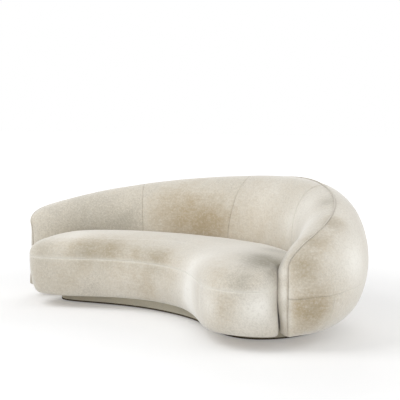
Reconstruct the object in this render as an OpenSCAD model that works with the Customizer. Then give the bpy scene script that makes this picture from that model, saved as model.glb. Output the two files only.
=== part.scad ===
// Curved sofa: a bean-shaped seat inside a wrap-around back that rises to the right and
// comes down as a rounded arm nose. A bent frame carries foam, and fitted covers close it.
// Layers are cut at a depth below the covered surface, so covers and foam nest inside each other.

/* [Back] */
// X of the stations on the line where the seat meets the back, left end to arm nose
line_x = [-962, -892, -702, -382, 38, 398, 628, 758, 808, 738]; // [-1100:1:1000]
// Y of the same stations
line_y = [-158, 42, 212, 302, 312, 232, 92, -78, -278, -448]; // [-600:1:450]
// Height of the crest at the stations
crest_z = [540, 600, 665, 730, 775, 802, 787, 715, 610, 472]; // [440:1:900]
// Distance of the crest behind the line
crest_depth = [100, 120, 150, 170, 180, 190, 200, 200, 170, 130]; // [80:1:240]
// Full depth of the back at its bulge
back_depth = [200, 250, 290, 320, 350, 370, 390, 390, 325, 270]; // [180:1:460]
// Distance of the foot behind the line
foot_depth = [100, 130, 150, 160, 170, 180, 190, 180, 150, 120]; // [90:1:240]
// Length over which the left end rounds off
left_round = 160; // [120:1:200]
// Length over which the arm nose rounds off
nose_round = 130; // [110:1:170]
// Drop of the crest at the tip of the left end
left_drop = 72; // [20:1:100]
// Drop of the crest at the tip of the arm nose
nose_drop = 44; // [10:1:60]
// Height up to which the inner wall stands upright
lean_z = 400; // [340:1:430]
// Roundness of the inner lean
inner_power = 2.3; // [1.8:0.1:3]
// Roundness of the outer shoulder
shoulder_power = 2.1; // [1.8:0.1:3]

/* [Seat] */
// X of the points that steer the front edge, left end to arm nose
front_x = [-957, -902, -712, -412, -82, 188, 328, 458, 608, 768, 838, 790, 760]; // [-1100:1:1000]
// Y of the same points
front_y = [-198, -358, -338, -208, -188, -308, -478, -628, -658, -613, -533, -455, -385]; // [-800:1:200]
// X of the points of the seat's middle line
middle_x = [-722, -412, -62, 258, 438, 538]; // [-800:1:800]
// Y of the same points
middle_y = [-78, 22, 42, -38, -208, -358]; // [-500:1:300]
// Height of the seam between front band and top
seam_z = 310; // [290:1:330]
// Height where the rounded front edge meets the top
seat_z = 415; // [400:1:440]
// Rise of the crown in the middle
seat_crown = 15; // [5:1:30]
// Depth of the rounded front edge
front_round = 180; // [120:1:200]
// Radius of the edge against the back
rear_round = 50; // [30:1:70]
// How far the front band draws in to the base
front_draw = 70; // [50:1:90]

/* [Cover] */
// Thickness of the cover with its lining
cover_t = 4; // [3:0.5:6]
// Width of the gap in a seam
seam_gap = 0.6; // [0.4:0.1:1]
// Radius of the piping
piping_r = 3.5; // [3:0.5:5]
// Places of the inner upright seams along the line
inner_seams = [690, 1330, 1880]; // [600:1:2000]
// Height of the seam between the outer panels and the lower band
band_seam_z = 280; // [240:1:300]
// Width of the flange turned in under the base board
flange_w = 20; // [15:1:25]

/* [Foam] */
// Thickness of the back foam with the cover
back_foam = 40; // [30:1:45]
// Space between neighbouring layers
layer_gap = 0.3; // [0.3:0.1:0.5]
// Thickness of the felt pad
felt_t = 3; // [2:0.5:5]

/* [Base] */
// Height of the underside of the body
body_z = 75; // [60:1:90]
// Thickness of the base board
board_t = 18; // [15:1:22]
// How far the board stands back from the front edge
board_inset = 58; // [55:1:70]
// X of the points that steer the front of the plinth line, left to right
plinth_front_x = [-870, -800, -600, -310, -20, 220, 390, 560, 720, 820]; // [-1000:1:950]
// Y of the same points
plinth_front_y = [-60, -150, -115, -68, -105, -195, -360, -420, -350, -220]; // [-600:1:500]
// X of the points that steer the rear of the plinth line, right to left
plinth_rear_x = [885, 835, 685, 430, 80, -300, -600, -800]; // [-1000:1:950]
// Y of the same points
plinth_rear_y = [-60, 100, 240, 348, 400, 384, 270, 90]; // [-600:1:500]
// Thickness of the bent plinth wall
plinth_t = 18; // [15:1:22]
// Thickness of the plinth facing
facing_t = 2; // [1.5:0.5:3]
// Number of glides, each under its own block
glide_count = 8; // [6:1:10]
// Diameter of a glide
glide_d = 34; // [28:1:40]
// Height of a glide
glide_h = 6; // [6:0.5:8]
// Side of a glue block
block_w = 45; // [42:1:50]

/* [Frame] */
// Thickness of the ply used for ribs and rails
ply_t = 18; // [15:1:22]
// Number of upright ribs in the back
rib_count = 9; // [7:1:12]
// Distance from the left end of the line to the first rib
first_rib = 190; // [180:1:260]
// Distance from the last rib to the end of the line
last_rib = 175; // [160:1:260]
// Height of the top of the seat rails
rail_z = 262; // [240:1:270]
// Height of the middle back rail
middle_rail_z = 335; // [310:1:360]
// Height of the top back rail
top_rail_z = 560; // [520:1:580]
// Height of the bottom back rail
bottom_rail_h = 40; // [30:1:60]
// Width of the flat back rails
back_rail_w = 60; // [50:1:80]
// Number of cross ribs under the seat
seat_rib_count = 5; // [3:1:7]
// Number of webbing straps
strap_count = 9; // [5:1:9]
// Width of a strap
strap_w = 50; // [40:1:60]
// Thickness of a strap
strap_t = 2; // [1.5:0.5:3]
// Shaft diameter of the frame screws
screw_d = 5; // [4:0.5:6]
// Head diameter of the frame screws
screw_head_d = 10; // [9:0.5:12]
// Head height of the frame screws
screw_head_h = 3; // [2.5:0.5:4]

/* [Hidden] */
$fn = 16;

ivory = "ivory";
linen = "linen";
foam_colour = "khaki";
birch = "burlywood";
steel = "silver";
taupe = "rosybrown";
nylon = "dimgray";
webbing = "dimgray";
felt = "gray";

// Heights of the base, from the floor up
board_z = body_z + cover_t + layer_gap;
board_top = board_z + board_t;
deck_z = board_top + layer_gap;
plinth_bottom = glide_h + layer_gap;
plinth_top = board_z - layer_gap;

// Fixed shapes: how square each rounded edge is
cap_power = 2.5;
band_power = 3;
edge_power = 2.2;

// Uniform cubic spline through a list of steering points, ends held
function steer(p, k) = k < 0 ? 2 * p[0] - p[1]
    : k > len(p) - 1 ? 2 * p[len(p) - 1] - p[len(p) - 2] : p[k];
function spline(p, t) = let(i = min(floor(t), len(p) - 2), f = t - i)
    (pow(1 - f, 3) * steer(p, i - 1) + (3 * pow(f, 3) - 6 * f * f + 4) * steer(p, i)
    + (3 * f + 3 * f * f - 3 * pow(f, 3) + 1) * steer(p, i + 1) + pow(f, 3) * steer(p, i + 2)) / 6;
function loop_spline(p, t) = let(n = len(p), i = floor(t), f = t - i)
    (pow(1 - f, 3) * p[(i + n - 1) % n] + (3 * pow(f, 3) - 6 * f * f + 4) * p[i % n]
    + (3 * f + 3 * f * f - 3 * pow(f, 3) + 1) * p[(i + 1) % n] + pow(f, 3) * p[(i + 2) % n]) / 6;
function flat(p) = [p[0], p[1]];
function paired(a, b) = [for (i = [0:len(a) - 1]) [a[i], b[i]]];
function unit(v) = v / norm(v);
function left_of(v) = [-v[1], v[0]];
function mix(a, b, w) = a + (b - a) * w;
function clip01(v) = min(max(v, 0), 1);
function root(v, power) = pow(max(v, 0), 1 / power);

// Line between seat and back, measured along its length
stations = [for (i = [0:len(line_x) - 1]) [line_x[i], line_y[i], crest_z[i], crest_depth[i],
    back_depth[i], foot_depth[i]]];
line_steps = 200;
line_end = len(stations) - 1;
line_table = [for (i = 0, s = 0; i <= line_steps;
    s = s + norm(flat(spline(stations, line_end * (i + 1) / line_steps))
        - flat(spline(stations, line_end * i / line_steps))), i = i + 1)
    [s, line_end * i / line_steps]];
line_length = line_table[line_steps][0];
function station(s) = spline(stations, lookup(s, line_table));
heading_reach = 2;
function heading(s) = unit(flat(station(min(s + heading_reach, line_length)))
    - flat(station(max(s - heading_reach, 0))));

// Places along the line: rounded left end, four panels, rounded nose
cap_steps = 4;
span_steps = [4, 5, 4, 5];
knots = concat([left_round], inner_seams, [line_length - nose_round]);
seam_rows = [cap_steps + span_steps[0], cap_steps + span_steps[0] + span_steps[1],
    cap_steps + span_steps[0] + span_steps[1] + span_steps[2]];
last_row = seam_rows[2] + span_steps[3] + cap_steps;
function cap_angle(i) = 90 * min(i, last_row - i, cap_steps) / cap_steps;
function span_place(i, k = 0) = i <= span_steps[k] || k == 3
    ? mix(knots[k], knots[k + 1], i / span_steps[k]) : span_place(i - span_steps[k], k + 1);
function place(i, d) = i <= cap_steps ? d + (left_round - d) * (1 - cos(cap_angle(i)))
    : i >= last_row - cap_steps ? line_length - d - (nose_round - d) * (1 - cos(cap_angle(i)))
    : span_place(i - cap_steps);

// Section of the back at a place, as [distance behind the line, height] at a depth d:
// inner wall, lean to the crest, shoulder to the bulge, and the fall to the foot
wall_steps = 2;
lean_steps = 5;
shoulder_steps = 4;
side_steps = 2;
foot_steps = 4;
crest_col = wall_steps + lean_steps;
band_col = crest_col + shoulder_steps + side_steps;
last_col = band_col + foot_steps;
wall_over_bulge = 50;
band_under_bulge = 15;
function bulge_z(h) = body_z + (h - body_z) / 2;
function wall_z(h) = min(lean_z, bulge_z(h) + wall_over_bulge);
function band_angle(h) = let(b = bulge_z(h))
    asin(clip01((b - min(band_seam_z, b - band_under_bulge)) / (b - body_z)));
function section(st, d, base = deck_z) = let(h = st[2], c = st[3], w = st[4], f = st[5], b = bulge_z(h),
    a = wall_z(h), turn = band_angle(h))
    concat([for (j = [0:wall_steps - 1]) [d, mix(base, a, j / wall_steps)]],
        [for (j = [0:lean_steps]) let(t = 90 * j / lean_steps)
            [c - (c - d) * root(cos(t) * cos(t), inner_power),
                a + (h - a - d) * root(sin(t) * sin(t), inner_power)]],
        [for (j = [1:shoulder_steps]) let(t = 90 * j / shoulder_steps)
            [c + (w - c - d) * root(sin(t) * sin(t), shoulder_power),
                b + (h - b - d) * root(cos(t) * cos(t), shoulder_power)]],
        [for (j = [1:side_steps + foot_steps]) let(t = j <= side_steps ? turn * j / side_steps
            : mix(turn, 90, (j - side_steps) / foot_steps))
            [f + (w - f - d) * cos(t), b - (b - body_z - d) * sin(t)]]);

// The ends round off towards the crest line and drop
function cap_drop(i) = i < last_row / 2 ? left_drop : nose_drop;
function rounded(i, st, p) = let(k = sin(cap_angle(i)), a = wall_z(st[2]),
    fall = 1 - root(1 - pow(cos(cap_angle(i)), cap_power), cap_power))
    [st[3] + (p[0] - st[3]) * k,
        p[1] > a ? p[1] - cap_drop(i) * fall * (p[1] - a) / (st[2] - a) : p[1]];
function to_space(s, p) = let(st = station(s), q = flat(st) + left_of(heading(s)) * p[0]) [q[0], q[1], p[1]];
// Past the ends of the seat the cover reaches down beside the base board
function back_row(i, d, shift = 0, side = 0) = let(s = place(i, d) + shift, st = station(s),
    base = d <= cover_t && cap_angle(i) < 90 ? body_z + d : deck_z)
    [for (p = section(st, d, base)) let(r = rounded(i, st, p))
        to_space(s, [side < 0 ? min(r[0], st[3] - seam_gap / 2)
            : side > 0 ? max(r[0], st[3] + seam_gap / 2) : r[0], r[1]])];

// Faces of a grid of points: rows of m points, two triangles to each cell
function skin(rows, m, first, inward, wrap) = [for (i = [0:rows - 2 + wrap], j = [0:m - 2])
    let(a = first + i * m + j, b = a + 1, d = first + ((i + 1) % rows) * m + j, c = d + 1)
    each inward ? [[a, c, b], [a, d, c]] : [[a, b, c], [a, c, d]]];
function rim(path, lift, turned = false) = [for (k = [0:len(path) - 1])
    let(a = path[k], d = path[(k + 1) % len(path)]) each turned ? [[a, d, a + lift], [d, d + lift, a + lift]]
        : [[a, d, d + lift], [a, d + lift, a + lift]]];
function bridge(path, turned) = let(n = len(path)) [for (k = [0:n / 2 - 2])
    let(a = path[k], b = path[k + 1], c = path[n - 2 - k], d = path[n - 1 - k])
    each turned ? [[b, a, d], [b, d, c]] : [[a, b, c], [a, c, d]]];
// Points of the soft forms are kept to a thousandth of a millimetre
function rounded_off(p) = [for (v = p) round(v * 1000) / 1000];
function joined(rows) = [for (r = rows) each [for (p = r) rounded_off(p)]];
function cut(row, a, b) = [for (j = [a:b]) row[j]];

// A sheet between an outer and an inner grid of the same size, its edge faces split either way
module sheet(outer, inner, turned = false) {
    n = len(outer);
    m = len(outer[0]);
    edge = concat([for (i = [0:n - 1]) i * m], [for (j = [1:m - 1]) (n - 1) * m + j],
        [for (i = [n - 2:-1:0]) i * m + m - 1], [for (j = [m - 2:-1:1]) j]);
    polyhedron(concat(joined(outer), joined(inner)),
        concat(skin(n, m, 0, false, 0), skin(n, m, n * m, true, 0), rim(edge, n * m, turned)));
}

// A tube of rings, closed at both ends
module tube(rings) {
    n = len(rings);
    m = len(rings[0]);
    polyhedron(joined(rings), concat(
        [for (i = [0:n - 2], j = [0:m - 1]) let(a = i * m + j, b = i * m + (j + 1) % m)
            each [[a, b, b + m], [a, b + m, a + m]]],
        [for (j = [1:m - 2]) [0, j + 1, j]],
        [for (j = [1:m - 2]) [(n - 1) * m, (n - 1) * m + j, (n - 1) * m + j + 1]]));
}

// Rows of the back between two rows and two columns, at a depth
function back_grid(i0, i1, j0, j1, d, side) = [for (i = [i0:i1])
    cut(back_row(i, d, i == i0 && i0 > 0 ? seam_gap / 2 : i == i1 && i1 < last_row ? -seam_gap / 2 : 0,
        side), j0, j1)];
module back_sheet(i0, i1, j0, j1, d0, d1, side, turned = false) {
    sheet(back_grid(i0, i1, j0, j1, d0, side), back_grid(i0, i1, j0, j1, d1, side), turned);
}

// Seat outline, counter-clockwise from above: front edge from the left, then back along the rows
front_steps = 27;
rear_steps = last_row - 2 * cap_steps + 1;
seat_n = front_steps + rear_steps;
front_points = concat([rear_point(rear_steps - 1)], paired(front_x, front_y), [rear_point(0)]);
middle_points = paired(middle_x, middle_y);
function front_point(v) = spline(front_points, v * (len(front_points) - 1));
function rear_point(k) = let(s = place(last_row - cap_steps - k, 0))
    flat(station(s)) - left_of(heading(s)) * layer_gap;
seat_outline = [for (i = [0:seat_n - 1]) i < front_steps ? front_point((i + 0.5) / front_steps)
    : rear_point(i - front_steps)];
seat_tangent = [for (i = [0:seat_n - 1])
    unit(seat_outline[(i + 1) % seat_n] - seat_outline[(i + seat_n - 1) % seat_n])];
// Share of the rear form at each point, eased over the two corners
corner_steps = 3;
seat_rear = [for (i = [0:seat_n - 1]) let(p = i + 0.5, a = (p - front_steps) / corner_steps,
    b = (seat_n - p) / corner_steps, f = -min(p, front_steps - p) / corner_steps)
    clip01(0.5 + 0.5 * (i < front_steps ? f : min(a, b)))];
function middle_at(u) = spline(middle_points, clip01(u) * (len(middle_points) - 1));
// Where the middle line starts and how much it takes up, as shares of the front and rear edges
front_share = [0.12, 0.55];
rear_share = [0.17, 0.75];
function middle_share(i) = i < front_steps ? ((i + 0.5) / front_steps - front_share[0]) / front_share[1]
    : 1 - ((i - front_steps + 0.5) / rear_steps - rear_share[0]) / rear_share[1];
seat_middle = [for (i = [0:seat_n - 1]) middle_at(middle_share(i))];

// Seat profile: heights of the front band, angles of the rounded edge, shares of the top
band_z = concat([body_z, deck_z], [for (w = [0.17, 0.44, 0.75]) mix(deck_z, rail_z, w)], [rail_z, seam_z]);
edge_angles = [18, 36, 54, 72, 90];
top_shares = [0.3, 0.6, 0.9];
function band_draw(z) = let(low = (seam_z - z) / (seam_z - body_z))
    front_draw * (1 - root(1 - pow(low, band_power), band_power));
farthest_inset = 0.8;
function seat_spot(i, inset, z, w, d) = let(o = seat_outline[i], m = seat_middle[i],
    p = o + left_of(seat_tangent[i]) * d + unit(m - o) * min(inset, norm(m - o) * farthest_inset),
    q = mix(p, m, w)) [q[0], q[1], z];
function band_spot(i, z, d) = seat_spot(i, band_draw(z) * (1 - seat_rear[i]), z, 0, d);
function edge_spot(i, t, d) = let(r = mix(front_round, rear_round, seat_rear[i]),
    low = mix(seam_z, seat_z - rear_round, seat_rear[i]))
    seat_spot(i, r * (1 - root(cos(t) * cos(t), edge_power)),
        low + (seat_z - low - d) * root(sin(t) * sin(t), edge_power), 0, d);
function top_spot(i, w, d) = seat_spot(i, mix(front_round, rear_round, seat_rear[i]),
    seat_z + seat_crown * (1 - (1 - w) * (1 - w)) - d, w, d);
function top_column(i, d, from) = concat([for (z = from) band_spot(i, z, d)],
    [for (t = edge_angles) edge_spot(i, t, d)], [for (w = top_shares) top_spot(i, w, d)]);
function inset_spot(i, a, b) = seat_outline[i]
    + left_of(seat_tangent[i]) * mix(a, b, seat_rear[i]);

// Lowest and highest points of the covers give the middle of the floor plan
plan_points = concat(joined([for (i = [0:last_row]) back_row(i, 0)]), joined([for (i = [0:seat_n - 1])
    top_column(i, 0, band_z)]));
centre_x = (min([for (p = plan_points) p[0]]) + max([for (p = plan_points) p[0]])) / 2;
centre_y = (min([for (p = plan_points) p[1]]) + max([for (p = plan_points) p[1]])) / 2;
module centred() {
    translate(rounded_off([-centre_x, -centre_y, 0])) children();
}

// Plinth line, counter-clockwise, and places measured around it
plinth_points = concat(paired(plinth_front_x, plinth_front_y), paired(plinth_rear_x, plinth_rear_y));
plinth_steps = 90;
plinth_reach = 0.02;
function plinth_spot(t, inset) = let(n = len(plinth_points), p = loop_spline(plinth_points, t),
    q = loop_spline(plinth_points, t + plinth_reach)) p + left_of(unit(q - p)) * inset;
function plinth_line(inset) = [for (i = [0:plinth_steps - 1])
    plinth_spot(i * len(plinth_points) / plinth_steps, inset)];
module plinth_ring(a, b, z0, z1) {
    translate([0, 0, z0]) linear_extrude(z1 - z0) difference() {
        polygon(plinth_line(a));
        polygon(plinth_line(b));
    }
}
block_gap = 4;
block_inset = facing_t + plinth_t + block_gap + block_w / 2;
module at_blocks() {
    for (k = [0:glide_count - 1]) {
        t = k * len(plinth_points) / glide_count;
        p = plinth_spot(t, block_inset);
        q = plinth_spot(t + plinth_reach, block_inset);
        translate([p[0], p[1], 0]) rotate([0, 0, atan2(q[1] - p[1], q[0] - p[0])]) children();
    }
}

// Upright ribs of the back stand across the line
function rib_place(k) = mix(first_rib, line_length - last_rib, k / (rib_count - 1));
module at_rib(k) {
    st = station(rib_place(k));
    n = left_of(heading(rib_place(k)));
    translate([st[0], st[1], 0]) rotate([0, 0, atan2(n[1], n[0])]) children();
}
// Two screws to a rib, as shares of the way from the bottom rail to the foot
rib_screw_shares = [0.15, 0.75];
module at_rib_screws(k) {
    st = station(rib_place(k));
    from = bottom_rail_near + ply_t + screw_head_d;
    for (v = rib_screw_shares) translate([mix(from, st[5], v), 0, 0]) children();
}
screw_len = 50;
screw_room = 0.3;
module screw(room) {
    translate([0, 0, board_z - room]) cylinder(d = screw_head_d + 2 * room, h = screw_head_h + 2 * room);
    translate([0, 0, board_z]) cylinder(d = screw_d + 2 * room, h = screw_len + room);
}

// A flat rail that follows the line between two places, from one depth to another
rail_steps = 64;
function line_curve(a, b, depth) = [for (i = [0:rail_steps]) let(s = mix(a, b, i / rail_steps))
    flat(station(s)) + left_of(heading(s)) * depth];
function reversed(p) = [for (i = [len(p) - 1:-1:0]) p[i]];
module line_rail(a, b, near, far, z, h) {
    translate([0, 0, z]) linear_extrude(h)
        polygon(concat(line_curve(a, b, near), reversed(line_curve(a, b, far))));
}
end_room = 30;
seat_rail_from = left_round + end_room;
seat_rail_to = line_length - nose_round - end_room;
// The back rails run a little past their outer ribs, the top one only under a crest high enough
rail_over = 25;
crest_room = 150;
rail_from = rib_place(0) - rail_over;
rail_to = rib_place(rib_count - 1) + rail_over;
top_rail_rows = [for (k = [0:rib_count - 1]) if (station(rib_place(k))[2] > top_rail_z + crest_room) k];
top_rail_from = rib_place(top_rail_rows[0]) - rail_over;
top_rail_to = rib_place(top_rail_rows[len(top_rail_rows) - 1]) + rail_over;
rail_setback = 25;
notch_room = 1;
bottom_rail_near = back_foam + rail_setback;
middle_rail_near = back_foam + notch_room;
top_rail_near = back_foam + rail_setback;
rib_depth = back_foam + 9;

// Straps and cross ribs run between matched places of the front edge and of the line
front_rail_inset = 62;
seat_rail_t = 15;
rear_rail_inset = 12;
// The front rail follows the points of the front edge from the left end round the lobe
front_rail_first = 1;
front_rail_last = 20;
module deck_plan(front, rear) {
    polygon([for (i = [0:seat_n - 1]) inset_spot(i, front, rear)]);
}
module at_rail_screws() {
    middle = seat_rail_t / 2;
    front = [for (j = [front_rail_first + 2:5:front_rail_last - 1]) j];
    rear = [for (j = [2:4:rear_steps - 3]) front_steps + j];
    for (i = concat(front, rear))
        translate(inset_spot(i, front_rail_inset + middle, rear_rail_inset + middle)) children();
}
// Distances of the outer bars from the ends of the line, and their places as shares of the front edge
bar_ends = [420, 320];
bar_shares = [0.17, 0.62];
module cross_bar(v, w) {
    a = flat(station(mix(bar_ends[0], line_length - bar_ends[1], v)));
    b = front_point(mix(bar_shares[0], bar_shares[1], v));
    translate(a) rotate([0, 0, atan2(b[1] - a[1], b[0] - a[0])])
        translate([-w, -w / 2]) square([norm(b - a) + w, w]);
}

head_recess = 1;
glide_screw_len = 30;
module glides() color(nylon) centred() at_blocks() difference() {
    cylinder(d = glide_d, h = glide_h);
    translate([0, 0, -1])
        cylinder(d = screw_head_d + 2 * screw_room, h = 1 + head_recess + screw_head_h);
    cylinder(d = screw_d + 2 * screw_room, h = glide_h + 1);
}
module glide_screw(room) {
    translate([0, 0, head_recess - room]) cylinder(d = screw_head_d + 2 * room, h = screw_head_h + room);
    translate([0, 0, head_recess]) cylinder(d = screw_d + 2 * room, h = glide_screw_len + room);
}
module glide_screws() color(steel) centred() at_blocks() glide_screw(0);

module plinth_wall() color(birch) centred()
    plinth_ring(facing_t + layer_gap, facing_t + plinth_t, plinth_bottom, plinth_top);

module plinth_facing() color(taupe) centred() plinth_ring(0, facing_t, plinth_bottom, plinth_top);

module block() {
    translate([-block_w / 2, -block_w / 2, plinth_bottom])
        cube([block_w, block_w, plinth_top - plinth_bottom]);
}
module block_screw(room) {
    translate([0, 0, board_top - screw_head_h - room])
        cylinder(d = screw_head_d + 2 * room, h = screw_head_h + 2 * room);
    translate([0, 0, board_top - screw_len - room])
        cylinder(d = screw_d + 2 * room, h = screw_len - 1 + room);
}
module plinth_blocks() color(birch) centred() at_blocks() difference() {
    block();
    glide_screw(screw_room);
    block_screw(screw_room);
}
module plinth_screws() color(steel) centred() at_blocks() block_screw(0);

// The board lies just inside the covers, and its seat part laps into its back part
board_depth = cover_t + 1;
board_lap = 4;
module board_plan() {
    deck_plan(board_inset, -board_depth - board_lap);
    polygon(concat([for (i = [1:last_row - 1]) flat(back_row(i, board_depth)[0])],
        [for (i = [last_row - 1:-1:1]) flat(back_row(i, board_depth)[last_col])]));
}
module base_board() color(birch) centred() difference() {
    translate([0, 0, board_z]) linear_extrude(board_t) board_plan();
    at_blocks() block_screw(screw_room);
    for (k = [0:rib_count - 1]) at_rib(k) at_rib_screws(k) screw(screw_room);
    at_rail_screws() screw(screw_room);
}

cloth_t = 1;
block_room = 0.5;
module dust_cloth() color(webbing) centred() difference() {
    translate([0, 0, plinth_top - cloth_t]) linear_extrude(cloth_t)
        polygon(plinth_line(facing_t + plinth_t + block_gap + 2));
    at_blocks() translate([-block_w / 2 - block_room, -block_w / 2 - block_room, 0])
        cube([block_w + 2 * block_room, block_w + 2 * block_room, board_z]);
}

module seat_front_rail() color(birch) centred() difference() {
    back = front_rail_inset + seat_rail_t;
    translate([0, 0, deck_z]) linear_extrude(rail_z - deck_z) polygon(concat(
        [for (i = [front_rail_first:front_rail_last]) inset_spot(i, front_rail_inset, front_rail_inset)],
        [for (i = [front_rail_last:-1:front_rail_first]) inset_spot(i, back, back)]));
    at_rail_screws() screw(screw_room);
}

module seat_rear_rail() color(birch) centred() difference() {
    line_rail(seat_rail_from, seat_rail_to, -rear_rail_inset - seat_rail_t, -rear_rail_inset,
        deck_z, rail_z - deck_z);
    at_rail_screws() screw(screw_room);
}

module rail_screws() color(steel) centred() at_rail_screws() screw(0);

// The ribs stay below the straps, which sag under load, and the straps end on the rails
strap_sag = 12;
strap_setback = 2;
module seat_rib_plan() {
    intersection() {
        deck_plan(front_rail_inset + seat_rail_t + layer_gap, rear_rail_inset + seat_rail_t + layer_gap);
        for (k = [0:seat_rib_count - 1]) cross_bar(k / (seat_rib_count - 1), seat_rail_t);
    }
}
module seat_ribs() color(birch) centred()
    translate([0, 0, deck_z]) linear_extrude(rail_z - deck_z - strap_sag) seat_rib_plan();

module seat_straps() color(webbing) centred() translate([0, 0, rail_z + layer_gap]) linear_extrude(strap_t)
    intersection() {
        deck_plan(front_rail_inset + strap_setback, rear_rail_inset + strap_setback);
        for (k = [0:strap_count - 1]) cross_bar(k / (strap_count - 1), strap_w);
    }

felt_z = rail_z + strap_t + 2 * layer_gap;
foam_z = felt_z + felt_t + layer_gap;
felt_inset = 12;
module seat_felt() color(felt) centred() translate([0, 0, felt_z]) linear_extrude(felt_t)
    deck_plan(felt_inset, felt_inset);

module seat_foam() color(foam_colour) centred() {
    d = cover_t + layer_gap;
    rows = [for (i = [0:seat_n - 1]) top_column(i, d, [foam_z, seam_z])];
    m = len(rows[0]);
    polyhedron(joined(rows), concat(skin(seat_n, m, 0, false, 1),
        bridge([for (i = [0:seat_n - 1]) i * m + m - 1], true),
        bridge([for (i = [0:seat_n - 1]) i * m], false)));
}

module front_foam() color(foam_colour) centred() {
    d = cover_t + layer_gap;
    heights = [for (z = band_z) if (z > body_z && z < seam_z) z];
    tube([for (i = [2:front_steps - 3]) concat([for (z = heights) band_spot(i, z, d)],
        [for (z = [rail_z, deck_z]) let(near = front_rail_inset - layer_gap, p = inset_spot(i, near, near))
            [p[0], p[1], z]])]);
}

module seat_cover_top() color(ivory) centred() {
    outer = [for (i = [0:seat_n - 1]) top_column(i, 0, [seam_z])];
    inner = [for (i = [0:seat_n - 1]) top_column(i, cover_t, [seam_z])];
    m = len(outer[0]);
    lift = seat_n * m;
    polyhedron(concat(joined(outer), joined(inner)), concat(
        skin(seat_n, m, 0, false, 1), skin(seat_n, m, lift, true, 1),
        bridge([for (i = [0:seat_n - 1]) i * m + m - 1], true),
        bridge([for (i = [0:seat_n - 1]) lift + i * m + m - 1], false),
        rim([for (i = [0:seat_n - 1]) i * m], lift)));
}

// A column of the front band, from its flange under the board up to the seam, moved along the edge
function front_column(i, d, along) = let(p = band_spot(i, body_z + d, d), way = seat_middle[i] - flat(p),
    q = flat(p) + unit(way) * flange_w, move = [seat_tangent[i][0], seat_tangent[i][1], 0] * along)
    [for (p = concat([[q[0], q[1], body_z + d]], [for (z = band_z) band_spot(i, z == body_z ? z + d
        : z == seam_z ? z - seam_gap : z, d)])) p + move];
lobe_col = 14;
module front_panel(i0, i1) {
    sheets = [for (d = [0, cover_t]) [for (i = [i0:i1]) front_column(i, d,
        i == i0 && i0 > 0 ? seam_gap / 2 : i == lobe_col ? -seam_gap / 2 : 0)]];
    sheet(sheets[0], sheets[1]);
}
module front_cover_left() color(ivory) centred() front_panel(0, lobe_col);
module front_cover_right() color(ivory) centred() front_panel(lobe_col, front_steps - 1);

module rib_profile(k, d) {
    intersection() {
        polygon(section(station(rib_place(k)), d));
        translate([0, deck_z]) square(max(crest_z));
    }
}
module rib_notches(k) {
    tall = len([for (r = top_rail_rows) if (r == k) r]) > 0;
    translate([bottom_rail_near - notch_room, 0])
        square([ply_t + 2 * notch_room, deck_z + bottom_rail_h + notch_room]);
    translate([0, middle_rail_z - notch_room])
        square([middle_rail_near + back_rail_w + 2 * notch_room, ply_t + 2 * notch_room]);
    if (tall) translate([0, top_rail_z - notch_room])
        square([top_rail_near + back_rail_w + 2 * notch_room, ply_t + 2 * notch_room]);
}
module back_ribs() color(birch) centred() for (k = [0:rib_count - 1]) at_rib(k) difference() {
    rotate([90, 0, 0]) translate([0, 0, -ply_t / 2]) linear_extrude(ply_t) difference() {
        rib_profile(k, rib_depth);
        rib_notches(k);
    }
    at_rib_screws(k) screw(screw_room);
}
module rib_screws() color(steel) centred() for (k = [0:rib_count - 1]) at_rib(k) at_rib_screws(k) screw(0);

module back_bottom_rail() color(birch) centred()
    line_rail(rail_from, rail_to, bottom_rail_near, bottom_rail_near + ply_t, deck_z, bottom_rail_h);
module back_middle_rail() color(birch) centred()
    line_rail(rail_from, rail_to, middle_rail_near, middle_rail_near + back_rail_w, middle_rail_z, ply_t);
module back_top_rail() color(birch) centred()
    line_rail(top_rail_from, top_rail_to, top_rail_near, top_rail_near + back_rail_w, top_rail_z, ply_t);

foam_outer_d = cover_t + layer_gap;
module back_foam_inner() color(foam_colour) centred()
    back_sheet(0, last_row, 0, crest_col, foam_outer_d, back_foam, -1, true);
module back_foam_outer() color(foam_colour) centred()
    back_sheet(0, last_row, crest_col, last_col - 1, foam_outer_d, back_foam, 1);

module inner_panel(i0, i1) color(ivory) centred() back_sheet(i0, i1, 0, crest_col, 0, cover_t, -1);
module outer_panel(i0, i1) color(ivory) centred() back_sheet(i0, i1, crest_col, band_col, 0, cover_t, 1);
module inner_cover_left() inner_panel(0, seam_rows[0]);
module inner_cover_middle() inner_panel(seam_rows[0], seam_rows[1]);
module inner_cover_right() inner_panel(seam_rows[1], seam_rows[2]);
module inner_cover_arm() inner_panel(seam_rows[2], last_row);
module outer_cover_left() outer_panel(0, seam_rows[0]);
module outer_cover_rear() outer_panel(seam_rows[0], seam_rows[2]);
module outer_cover_arm() outer_panel(seam_rows[2], last_row);

// The lower band starts just under its seam and turns in under the base board
seam_turn = 0.2;
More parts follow.
